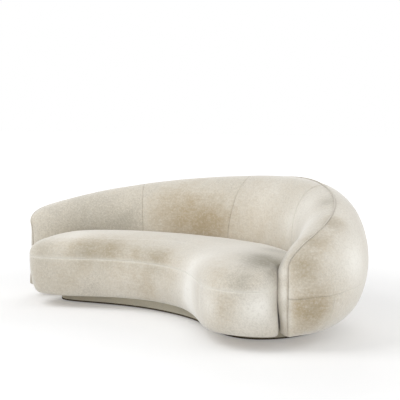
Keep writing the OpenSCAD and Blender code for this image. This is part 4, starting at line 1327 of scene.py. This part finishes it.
PLINTH_REACH = 0.02
PLINTH_BOTTOM, PLINTH_TOP = GLIDE_H + LAYER_GAP, BOARD_Z - LAYER_GAP
FRONT_RAIL_INSET = 62.0
FELT_INSET = 12.0
FELT_Z = RAIL_Z + STRAP_T + 2 * LAYER_GAP
FOAM_Z = FELT_Z + FELT_T + LAYER_GAP
FOAM_D = COVER + LAYER_GAP
BAR_ENDS, BAR_SHARES = (420.0, 320.0), (0.17, 0.62)
# Straps: how many, where their sides lie beside their middle, how near a point must be to a side, the sag
STRAP_COUNT, STRAP_SIDES, STRAP_NEAR, STRAP_SAG = 9, (-24.9, 24.9), 1.5, 5.0
# Welt: the step of its points, how deep it sits in the crest, and its foot above the body's lower edge
WELT_STEP, WELT_SUNK, WELT_FOOT = 7.0, 1.2, 10.0
# Lines of the flange's staples: from the line's tips, the step of points, from the front's ends in running
# numbers; then how far a crown's middle lies below the flange and below the plinth's top
FLANGE_TIP, FLANGE_PLACES, FLANGE_FRONT, STAPLE_SUNK = 60.0, 12.0, (0.8, 1.8), (0.3, 1.3)


def plinth_line(t, inset):
    """Points around the plinth, counter-clockwise, at a distance inside its outer face."""
    p = spline(PLINTH, t, True)
    return p + left_of(unit(spline(PLINTH, t + PLINTH_REACH, True) - p)) * inset


def at_height(xy, z):
    """Points over plan points at a height."""
    return np.concatenate([xy, np.broadcast_to(np.asarray(z, float), xy.shape[:-1])[..., None]], -1)


def crest_path(lift, foot_z):
    """The welt's centre line: up the left tip, along the crest and down the arm nose."""
    left, nose = tip_places(np.arange(0, 90, 4))
    sigma = np.concatenate([left, np.arange(LEFT_ROUND, LENGTH - NOSE_ROUND, WELT_STEP), nose])
    turn = cap_turn(sigma)
    turn = np.where(sigma > LENGTH / 2, math.pi - turn, turn)
    shift = crest_shift(sigma)
    tilt = (np.sin(turn) * np.sin(RIGHT * shift))[:, None]
    way = heading(sigma)
    out = unit(at_height(left_of(way) * tilt - np.cos(turn)[:, None] * way, np.sin(turn)))
    crest = back_points(sigma, 2 + shift, 0) + out * lift
    legs = []
    for place, way in ((0.0, out[0]), (LENGTH, out[-1])):
        low = (foot_z - BODY_Z) / (wall_z(station(place)[2]) - BODY_Z)
        col = np.concatenate([np.linspace(low, 1, 40)[:-1], np.linspace(1, 2, 24)[:-1]])
        legs.append(back_points(place, col, 0) + way * lift)
    return np.concatenate([legs[0], crest, legs[1][::-1]])


def flange_paths():
    """Two lines under the middle of the flange: round the back, and along the front."""
    sigma = np.arange(FLANGE_TIP, LENGTH - FLANGE_TIP, FLANGE_PLACES)
    back = back_points(sigma, 5.5, 0)
    number = np.linspace(FLANGE_FRONT[0], FRONT_STEPS - FLANGE_FRONT[1], 180)
    front = seat_points(seat_fields(number), np.array([[-0.5]]), 0)[:, 0]
    for path in (back, front):
        path[:, 2] = BODY_Z - STAPLE_SUNK[0]
    return back, front


def strap_paths():
    """Middle lines of the straps, from the rear rail to the front rail, sagging a little."""
    co = np.array([v.co[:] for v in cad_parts["seat_straps"].data.vertices])[:, :2] / MM + CENTRE
    paths = []
    for v in np.linspace(0, 1, STRAP_COUNT):
        a = station(np.array(mix(BAR_ENDS[0], LENGTH - BAR_ENDS[1], v)))[:2]
        b = spline(FRONT_LINE, np.array(mix(*BAR_SHARES, v) * (len(FRONT_LINE) - 1)))
        way = unit(b - a)
        along, across = (co - a) @ way, (co - a) @ left_of(way)
        sides = [along[np.abs(across - side) < STRAP_NEAR] for side in STRAP_SIDES]
        start = np.mean([s.min() for s in sides])
        end = np.mean([s.max() for s in sides])
        w = np.linspace(0, 1, 15)
        xy = a + np.outer(mix(start, end, w), way)
        paths.append(at_height(xy, RAIL_Z + LAYER_GAP + STRAP_T / 2 - STRAP_SAG * np.sin(math.pi * w)))
    return paths


# Pieces

# Steps of the points over the covers: over most of them, over the bands, and over the seat in the middle
COVER_STEP, BAND_STEP, EDGE_STEP, TOP_STEP, FLANGE_STEP = 8.5, 9.0, 8.0, 11.0, 6.0
# Steps over the back foam along and across, and the height of the felt's soft edges
FOAM_STEPS, FELT_SOFT = (18.0, 16.0), 0.5
# Dust cloth, in metres: cells of its mesh, flat size, area, sag; and in mm: how far from the plinth's wall
# the sag begins, over what distance it grows, and where the staples run inside the plinth's face
CLOTH_CELL, CLOTH_FLAT, CLOTH_AREA, CLOTH_SAG = 0.045, (1.677, 0.757), 0.75, 0.0035
CLOTH_BORDER, CLOTH_REACH, CLOTH_STAPLES = 6.0, 70.0, 34.0
# Heights of the points of the plinth's facing above its foot; how far its lower edge turns in, and how high
SKIRT_HEIGHTS, SKIRT_SOFT = (0, 0.5, 1.5, 4, 12, 26, 40, 54, 66, 71, 72.3), (0.9, 1.2)
# Dark tape along the foot and the head of the facing, painted shadow of the gap under the body and along the
# floor: heights, inner face, edges and middle, soft edge
SHADOW_TAPE_H, SHADOW_TAPE_IN, SHADOW_TAPE_OUT, SHADOW_TAPE_SOFT = (9.0, 11.0), 0.1, (0.3, 0.8), 0.4
# Finishes of the hard pieces
FINISHES = {
    "raw_ply": ["plinth_wall", "plinth_blocks", "base_board", "seat_front_rail", "seat_rear_rail",
                "seat_ribs", "back_ribs", "back_bottom_rail", "back_middle_rail", "back_top_rail"],
    "zinc_steel": ["glide_screws", "plinth_screws", "rail_screws", "rib_screws"],
    "moulded_nylon": ["glides"],
}


def make_seat_cover():
    """The seat's top: one piece over the crowned top and the rounded front edge."""
    number = outline_numbers(0, SEAT_N, COVER_STEP, False, False)[:-1]
    col = np.concatenate([seat_columns(1, 2, EDGE_STEP, True), seat_columns(2, MIDDLE_SHARE, TOP_STEP)[1:]])
    obj = seat_piece("seat_top_cover", number, col, (False, False, True, False), loop=True)
    return finish_piece(obj, ["seat_cover_top"])


def make_front_band():
    """The two panels of the front band, with the seam between them at the start of the lobe."""
    gap = SEAM_GAP / 2 / NUMBER_MM
    low = np.linspace(0, band_share(BODY_Z + FOOT_ROUND + 2), 7)[:-1]
    col = np.concatenate([seat_columns(-1, 0, FLANGE_STEP)[:-1], low,
                          seat_columns(low[-1] + low[1], 1, BAND_STEP, False, True)])
    for part, a, b, ends in (("left", 0, LOBE_NUMBER - gap, (False, True)),
                             ("right", LOBE_NUMBER + gap, FRONT_STEPS - 1, (True, False))):
        number = outline_numbers(a, b, BAND_STEP, *ends)
        obj = seat_piece("front_band_" + part, number, col, (*ends, False, True))
        finish_piece(obj, ["front_cover_" + part])


def back_panels(names, stands_for, places, across, side, step, edges, parts):
    """Panels of the back, one after the other along the line, each part with painted highlight beside its
    seams where its value is above 0 and painted shade where it is below 0.
    """
    for (part, lip), a, b in zip(parts, places, places[1:]):
        obj = back_cover(names + part, a, b, across, side, step, edges, lip)
        finish_piece(obj, [stands_for + part])


def make_inner_back():
    """The four panels that face the seat, from the seat up to the welt."""
    back_panels("inner_panel_", "inner_cover_", (0, *INNER_SEAMS, LENGTH), (0, 2), -1, COVER_STEP,
                (True, True, False, True),
                (("left", -0.1), ("middle", -0.14), ("right", -0.1), ("arm", -0.55)))


def make_outer_back():
    """The three panels of the outside, from the welt down to the seam of the lower band."""
    back_panels("outer_panel_", "outer_cover_", (0, INNER_SEAMS[0], INNER_SEAMS[2], LENGTH), (2, 4), 1,
                COVER_STEP, (True, True, True, True), (("left", -0.1), ("rear", -0.2), ("arm", -0.6)))


def make_lower_band():
    """The three panels of the lower band, turned in under the board."""
    back_panels("lower_band_", "band_cover_", (0, INNER_SEAMS[0], ARM_SEAM, LENGTH), (4, 6), 1,
                BAND_STEP, (True, True, True, False), (("left", 0.3), ("rear", 0.6), ("arm", -0.35)))


def make_crest_welt():
    """The welt along the crest: a cord covered in velvet, down to the base at both ends."""
    sizes = bpy.context.scene.sofa_sizes
    tree, names = sweep_tree()
    path = crest_path(sizes.welt_radius / MM - WELT_SUNK, BODY_Z + WELT_FOOT)
    obj = along_paths("crest_welt", [path], tree, names, {
        "Width": 2 * sizes.welt_radius, "Thickness": 2 * sizes.welt_radius, "Sides": sizes.welt_sides,
        "Material": finish_of("welt_velvet")})
    return finish_piece(obj, ["crest_piping"])


def make_foam():
    """The foam under the covers: seat core, front band core, and the back's inner and outer layers."""
    foam = finish_of("cut_foam")
    number = np.arange(0, SEAT_N, 0.25)
    fields = seat_fields(number)
    col = np.concatenate([np.linspace(band_share(FOAM_Z), 1, 4), np.linspace(1, 2, 14)[1:],
                          np.linspace(2, MIDDLE_SHARE, 12)[1:]])
    i, c = crossed(number, col)
    swell = seat_swell(i, c) * np.clip((c - 1) * 4, 0, 1) + np.where(c < 1, 0, -tuck(i, c))
    obj = lofted("seat_core", seat_points(fields, c, FOAM_D - swell), foam, True, False)
    finish_piece(obj, ["seat_foam"])

    number = np.linspace(2, FRONT_STEPS - 3, 90)
    fields = seat_fields(number)
    face = seat_points(fields, np.linspace(band_share(DECK_Z), band_share(RAIL_Z), 12)[None, :], FOAM_D)
    inset = fields[0] + left_of(fields[1]) * (FRONT_RAIL_INSET - LAYER_GAP)
    back = np.stack([at_height(inset, z) for z in np.linspace(RAIL_Z, DECK_Z, 8)], 1)
    obj = lofted("front_core", np.concatenate([face, back], 1), foam, False, True)
    finish_piece(obj, ["front_foam"])

    for name, c0, c1, side, stands_for in (("inner_core", 0, 2, -1, "back_foam_inner"),
                                           ("outer_core", 2, 4.75, 1, "back_foam_outer")):
        sigma = line_places(0, LENGTH, FOAM_STEPS[0])
        col = back_columns(SKIN_SECTION, c0, c1, FOAM_STEPS[1], side=side)
        s, c = crossed(sigma, col)
        d = FOAM_D - back_swell(s, c)
        s, c = leaning(s, c), risen(s, behind_crest(s, c))
        obj = shell(name, back_points(s, c, d, side, True), back_points(s, c, BACK_FOAM, side, True), foam)
        turn_outwards(obj)
        finish_piece(obj, [stands_for])


def make_seat_support():
    """What carries the seat core: a felt pad on nine webbing straps."""
    sizes = bpy.context.scene.sofa_sizes
    number = np.arange(0, SEAT_N, 0.2)
    fields = seat_fields(number)
    edge = fields[0] + left_of(fields[1]) * FELT_INSET
    top = FELT_Z + FELT_T
    rows = np.stack([at_height(edge, z) for z in (FELT_Z, FELT_Z + FELT_SOFT, top - FELT_SOFT, top)], 1)
    obj = lofted("felt_pad", shifted(rows, SEAT_SHIFTS), finish_of("needle_felt"), True, False)
    finish_piece(obj, ["seat_felt"])

    tree, names = sweep_tree()
    obj = along_paths("webbing_straps", strap_paths(), tree, names, {
        "Width": sizes.strap_width, "Thickness": STRAP_T * MM, "Sides": 16,
        "Material": finish_of("ribbed_webbing")})
    finish_piece(obj, ["seat_straps"])


def make_dust_cloth():
    """The dust cloth inside the plinth, sagging a little, and the staples of cloth and flange."""
    sizes = bpy.context.scene.sofa_sizes
    bm = bmesh.new()
    bm.from_mesh(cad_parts["dust_cloth"].data)
    bmesh.ops.remove_doubles(bm, verts=bm.verts, dist=1e-5)
    bmesh.ops.dissolve_limit(bm, angle_limit=math.radians(0.5), verts=bm.verts, edges=bm.edges)
    low, high = (np.array(v[:]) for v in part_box("dust_cloth"))
    for axis in (0, 1):
        normal = Vector((1 - axis, axis, 0))
        for place in np.arange(low[axis] + CLOTH_CELL, high[axis], CLOTH_CELL):
            bmesh.ops.bisect_plane(bm, geom=bm.verts[:] + bm.edges[:] + bm.faces[:], plane_co=normal * place,
                                   plane_no=normal, dist=1e-6)
    border = plinth_line(np.linspace(0, len(PLINTH), 400), FACING_T + PLINTH_T + CLOTH_BORDER)
    for v in bm.verts:
        x, y = v.co.x / MM + CENTRE[0], v.co.y / MM + CENTRE[1]
        gap = np.hypot(border[:, 0] - x, border[:, 1] - y).min()
        ripple = 1 + 0.35 * math.sin(x / 90 + y / 130) + 0.25 * math.sin(y / 45 - x / 160)
        v.co.z -= CLOTH_SAG * (1 - math.exp(-gap / CLOTH_REACH)) * ripple
    mesh = bpy.data.meshes.new("dust_cloth_sheet")
    bm.to_mesh(mesh)
    bm.free()
    mesh.materials.clear()
    mesh.materials.append(finish_of("spun_cloth"))
    mesh.shade_smooth()
    obj = linked("dust_cloth_sheet", mesh)
    turn_outwards(obj)
    finish_piece(obj, ["dust_cloth"])

    tree, names = staple_tree()
    values = {"Step": sizes.staple_step, "Material": finish_of("zinc_steel")}
    around = at_height(plinth_line(np.linspace(0, len(PLINTH), 300, endpoint=False), CLOTH_STAPLES),
                       PLINTH_TOP - STAPLE_SUNK[1])
    for name, paths, closed in (("cloth_staples", [around], True), ("flange_staples", flange_paths(), False)):
        obj = along_paths(name, paths, tree, names, values, closed)
        finish_piece(obj)


def make_plinth_skirt():
    """The cloth facing round the plinth, with a soft lower edge, and the two dark tapes along it that paint
    the shadows under the body and at the floor.
    """
    t = np.linspace(0, len(PLINTH), 540, endpoint=False)
    z = mix(PLINTH_BOTTOM, PLINTH_TOP, np.array(SKIRT_HEIGHTS) / SKIRT_HEIGHTS[-1])
    roll = SKIRT_SOFT[0] * np.exp(-(z - PLINTH_BOTTOM) / SKIRT_SOFT[1])
    outer = [at_height(plinth_line(t, d), height) for d, height in zip(roll, z)]
    inner = [at_height(plinth_line(t, FACING_T), height) for height in (z[-1], mix(z[0], z[-1], 0.5), z[0])]
    rows = np.stack(outer + inner, 1)
    obj = lofted("plinth_skirt", rows, finish_of("plinth_cloth"), True, True)
    run = np.cumsum(np.linalg.norm(np.diff(rows[:, 0], axis=0, prepend=rows[-1:, 0]), axis=1)) * MM
    point_attribute(obj, "along", np.repeat(run, rows.shape[1]))
    finish_piece(obj, ["plinth_facing"])
    # Painted shadow: dark tape at the foot and at the head of the facing
    for name, low, high in (("plinth_binding_lower", PLINTH_BOTTOM + 0.2, PLINTH_BOTTOM + SHADOW_TAPE_H[0]),
                            ("plinth_binding_upper", BODY_Z - SHADOW_TAPE_H[1], PLINTH_TOP)):
        edge, middle = SHADOW_TAPE_OUT
        outer = [at_height(plinth_line(t, -d), height) for d, height in (
            (edge, low), (middle, low + SHADOW_TAPE_SOFT), (middle, high - SHADOW_TAPE_SOFT), (edge, high))]
        inner = [at_height(plinth_line(t, -SHADOW_TAPE_IN), height) for height in (high, low)]
        obj = lofted(name, np.stack(outer + inner, 1), finish_of("dark_binding"), True, True)
        finish_piece(obj)


def dress_frame():
    """Gives each hard piece its material."""
    for name, nodes in FINISHES.items():
        for key in nodes:
            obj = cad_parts[key]
            if not obj.material_slots:
                obj.data.materials.append(finish_of(name))
            for slot in obj.material_slots:
                slot.material = finish_of(name)


# Stage

CAMERA_PLACE, CAMERA_TURN, CAMERA_PITCH = (2.318, -4.158, 1.19), 28.0, 6.3
CAMERA_LENS, CAMERA_SENSOR = 73.35, 36.0
# Half the floor's side, the floor's own light near and far and where it grows, and the world's light
FLOOR_REACH, FLOOR_GLOW, GLOW_REACH, WORLD_LIGHT = 30.0, (0.22, 0.8), (1.6, 6.0), 0.45
LAMP_AIM = (0, 0, 0.3)
# Name, place, size and power of each lamp
LAMPS = (
    ("key", (-2.2, -2.6, 3.8), 3.2, 112.0),
    ("fill", (2.6, -3.9, 1.7), 3.0, 50.0),
    ("rim", (3.8, 1.0, 1.6), 2.4, 40.0),
    ("back", (-1.2, 3.4, 2.6), 3.0, 45.0),
)


def seen_rays(tree):
    """1 where a camera, glossy or transmission ray sees a surface."""
    rays = tree.nodes.new("ShaderNodeLightPath")
    camera, glossy, passing = (Value(rays.outputs["Is %s Ray" % kind])
                               for kind in ("Camera", "Glossy", "Transmission"))
    return camera.op("MAXIMUM", glossy).op("MAXIMUM", passing)


def make_stage():
    """Pale floor, soft lamps, white surroundings and the camera."""
    scene = bpy.context.scene
    floor_mesh = bpy.data.meshes.new("floor")
    corners = ((-1, -1), (1, -1), (1, 1), (-1, 1))
    floor_mesh.from_pydata([(x * FLOOR_REACH, y * FLOOR_REACH, 0) for x, y in corners], [], [(0, 1, 2, 3)])
    floor = linked("floor", floor_mesh)
    material = bpy.data.materials.new("pale_floor")
    material.use_nodes = True
    tree = material.node_tree
    tree.nodes.remove(tree.nodes["Principled BSDF"])
    plain = node(tree, "ShaderNodeBsdfDiffuse", {"Color": (0.8, 0.8, 0.8, 1)})
    away = node(tree, "ShaderNodeVectorMath", {0: node(tree, "ShaderNodeTexCoord").outputs["Object"]},
                operation="LENGTH").outputs["Value"]
    glow = node(tree, "ShaderNodeMapRange", {
        "Value": away, "From Min": GLOW_REACH[0], "From Max": GLOW_REACH[1],
        "To Min": FLOOR_GLOW[0], "To Max": FLOOR_GLOW[1]}).outputs[0]
    glow = node(tree, "ShaderNodeEmission", {"Color": (1, 1, 1, 1), "Strength": seen_rays(tree) * glow})
    both = node(tree, "ShaderNodeAddShader", {0: plain.outputs[0], 1: glow.outputs[0]})
    tree.links.new(both.outputs[0], tree.nodes["Material Output"].inputs["Surface"])
    floor_mesh.materials.append(material)

    world = bpy.data.worlds.new("white_room")
    world.use_nodes = True
    scene.world = world
    tree = world.node_tree
    strength = seen_rays(tree) * (1 - WORLD_LIGHT) + WORLD_LIGHT
    tree.nodes["Background"].inputs["Color"].default_value = (1, 1, 1, 1)
    tree.links.new(strength.socket, tree.nodes["Background"].inputs["Strength"])

    for name, place, size, power in LAMPS:
        lamp = bpy.data.lights.new(name, "AREA")
        lamp.size = size
        lamp.energy = power
        obj = linked(name, lamp)
        obj.location = place
        obj.rotation_euler = (Vector(LAMP_AIM) - Vector(place)).to_track_quat("-Z", "Y").to_euler()

    camera = bpy.data.cameras.new("camera")
    camera.lens = CAMERA_LENS
    camera.sensor_width = CAMERA_SENSOR
    eye = linked("camera", camera)
    eye.location = CAMERA_PLACE
    eye.rotation_euler = (math.radians(90 - CAMERA_PITCH), 0, math.radians(CAMERA_TURN))
    scene.camera = eye
    scene.view_settings.view_transform = "Standard"


# Sizes, colours and the steps of making

class SofaSizes(bpy.types.PropertyGroup):
    """Sizes of the soft parts."""
    back_swell: FloatProperty(name="Back swell", description="How far the back covers stand out",
                              default=0.007, min=0, max=0.015, unit="LENGTH")
    seat_swell: FloatProperty(name="Seat swell", description="How far the seat cover stands out",
                              default=0.014, min=0, max=0.02, unit="LENGTH")
    welt_radius: FloatProperty(name="Welt radius", description="Radius of the covered cord along the crest",
                               default=0.0035, min=0.002, max=0.006, unit="LENGTH")
    welt_sides: IntProperty(name="Welt sides", description="Sides of the welt's round section",
                            default=12, min=6, max=24)
    strap_width: FloatProperty(name="Strap width", description="Width of a webbing strap",
                               default=0.05, min=0.03, max=0.07, unit="LENGTH")
    staple_step: FloatProperty(name="Staple step", description="Distance between two staples",
                               default=0.055, min=0.03, max=0.1, unit="LENGTH")


class SofaColours(bpy.types.PropertyGroup):
    """Colours of the cloths that show."""
    cream: FloatVectorProperty(name="Cream", description="Velvet where the pile stands up", subtype="COLOR",
                               default=(0.705, 0.655, 0.56), min=0, max=1)
    sand: FloatVectorProperty(name="Sand", description="Velvet brushed to the warm side", subtype="COLOR",
                              default=(0.50, 0.40, 0.26), min=0, max=1)
    grey: FloatVectorProperty(name="Grey", description="Velvet brushed to the cool side", subtype="COLOR",
                              default=(0.47, 0.445, 0.385), min=0, max=1)
    welt: FloatVectorProperty(name="Welt", description="Velvet over the cord", subtype="COLOR",
                              default=(0.62, 0.57, 0.49), min=0, max=1)
    plinth: FloatVectorProperty(name="Plinth", description="Cloth round the plinth", subtype="COLOR",
                                default=(0.74, 0.69, 0.56), min=0, max=1)


class SOFA_OT_seat_cover(bpy.types.Operator):
    """Make the seat's top cover"""
    bl_idname = "sofa.seat_cover"
    bl_label = "Seat cover"

    def execute(self, context):
        make_seat_cover()
        return {"FINISHED"}


class SOFA_OT_front_band(bpy.types.Operator):
    """Make the two panels of the front band"""
    bl_idname = "sofa.front_band"
    bl_label = "Front band"

    def execute(self, context):
        make_front_band()
        return {"FINISHED"}


class SOFA_OT_inner_back(bpy.types.Operator):
    """Make the four inner panels of the back"""
    bl_idname = "sofa.inner_back"
    bl_label = "Inner back"

    def execute(self, context):
        make_inner_back()
        return {"FINISHED"}


class SOFA_OT_outer_back(bpy.types.Operator):
    """Make the three outer panels of the back"""
    bl_idname = "sofa.outer_back"
    bl_label = "Outer back"

    def execute(self, context):
        make_outer_back()
        return {"FINISHED"}


class SOFA_OT_lower_band(bpy.types.Operator):
    """Make the three panels of the lower band"""
    bl_idname = "sofa.lower_band"
    bl_label = "Lower band"

    def execute(self, context):
        make_lower_band()
        return {"FINISHED"}


class SOFA_OT_crest_welt(bpy.types.Operator):
    """Make the covered cord along the crest"""
    bl_idname = "sofa.crest_welt"
    bl_label = "Crest welt"

    def execute(self, context):
        make_crest_welt()
        return {"FINISHED"}


class SOFA_OT_foam(bpy.types.Operator):
    """Make the foam of seat and back"""
    bl_idname = "sofa.foam"
    bl_label = "Foam"

    def execute(self, context):
        make_foam()
        return {"FINISHED"}


class SOFA_OT_seat_support(bpy.types.Operator):
    """Make the felt pad and the webbing straps"""
    bl_idname = "sofa.seat_support"
    bl_label = "Seat support"

    def execute(self, context):
        make_seat_support()
        return {"FINISHED"}


class SOFA_OT_dust_cloth(bpy.types.Operator):
    """Make the dust cloth and the staples"""
    bl_idname = "sofa.dust_cloth"
    bl_label = "Dust cloth"

    def execute(self, context):
        make_dust_cloth()
        return {"FINISHED"}


class SOFA_OT_plinth_skirt(bpy.types.Operator):
    """Make the cloth facing of the plinth"""
    bl_idname = "sofa.plinth_skirt"
    bl_label = "Plinth skirt"

    def execute(self, context):
        make_plinth_skirt()
        return {"FINISHED"}


class SOFA_OT_frame_finish(bpy.types.Operator):
    """Give the frame, screws and glides their materials"""
    bl_idname = "sofa.frame_finish"
    bl_label = "Frame finish"

    def execute(self, context):
        dress_frame()
        return {"FINISHED"}


class SOFA_OT_stage(bpy.types.Operator):
    """Make the floor, the lamps and the camera"""
    bl_idname = "sofa.stage"
    bl_label = "Stage"

    def execute(self, context):
        make_stage()
        return {"FINISHED"}


STEPS = (SOFA_OT_stage, SOFA_OT_frame_finish, SOFA_OT_seat_cover, SOFA_OT_front_band, SOFA_OT_inner_back,
         SOFA_OT_outer_back, SOFA_OT_lower_band, SOFA_OT_crest_welt, SOFA_OT_foam, SOFA_OT_seat_support,
         SOFA_OT_dust_cloth, SOFA_OT_plinth_skirt)


class SOFA_PT_pieces(bpy.types.Panel):
    """Sizes, colours and steps of the sofa"""
    bl_label = "Curved sofa"
    bl_idname = "SOFA_PT_pieces"
    bl_space_type = "VIEW_3D"
    bl_region_type = "UI"
    bl_category = "Sofa"

    def draw(self, context):
        for group in (context.scene.sofa_sizes, context.scene.sofa_colours):
            for key in group.__annotations__:
                self.layout.prop(group, key)
        for step in STEPS:
            self.layout.operator(step.bl_idname)


CLASSES = (SofaSizes, SofaColours, *STEPS, SOFA_PT_pieces)


def register():
    for cls in CLASSES:
        bpy.utils.register_class(cls)
    bpy.types.Scene.sofa_sizes = PointerProperty(type=SofaSizes)
    bpy.types.Scene.sofa_colours = PointerProperty(type=SofaColours)


def unregister():
    del bpy.types.Scene.sofa_colours
    del bpy.types.Scene.sofa_sizes
    for cls in reversed(CLASSES):
        bpy.utils.unregister_class(cls)


def main():
    register()
    for step in STEPS:
        group, name = step.bl_idname.split(".")
        getattr(getattr(bpy.ops, group), name)()
    bpy.context.view_layer.update()


if __name__ == "__main__":
    main()
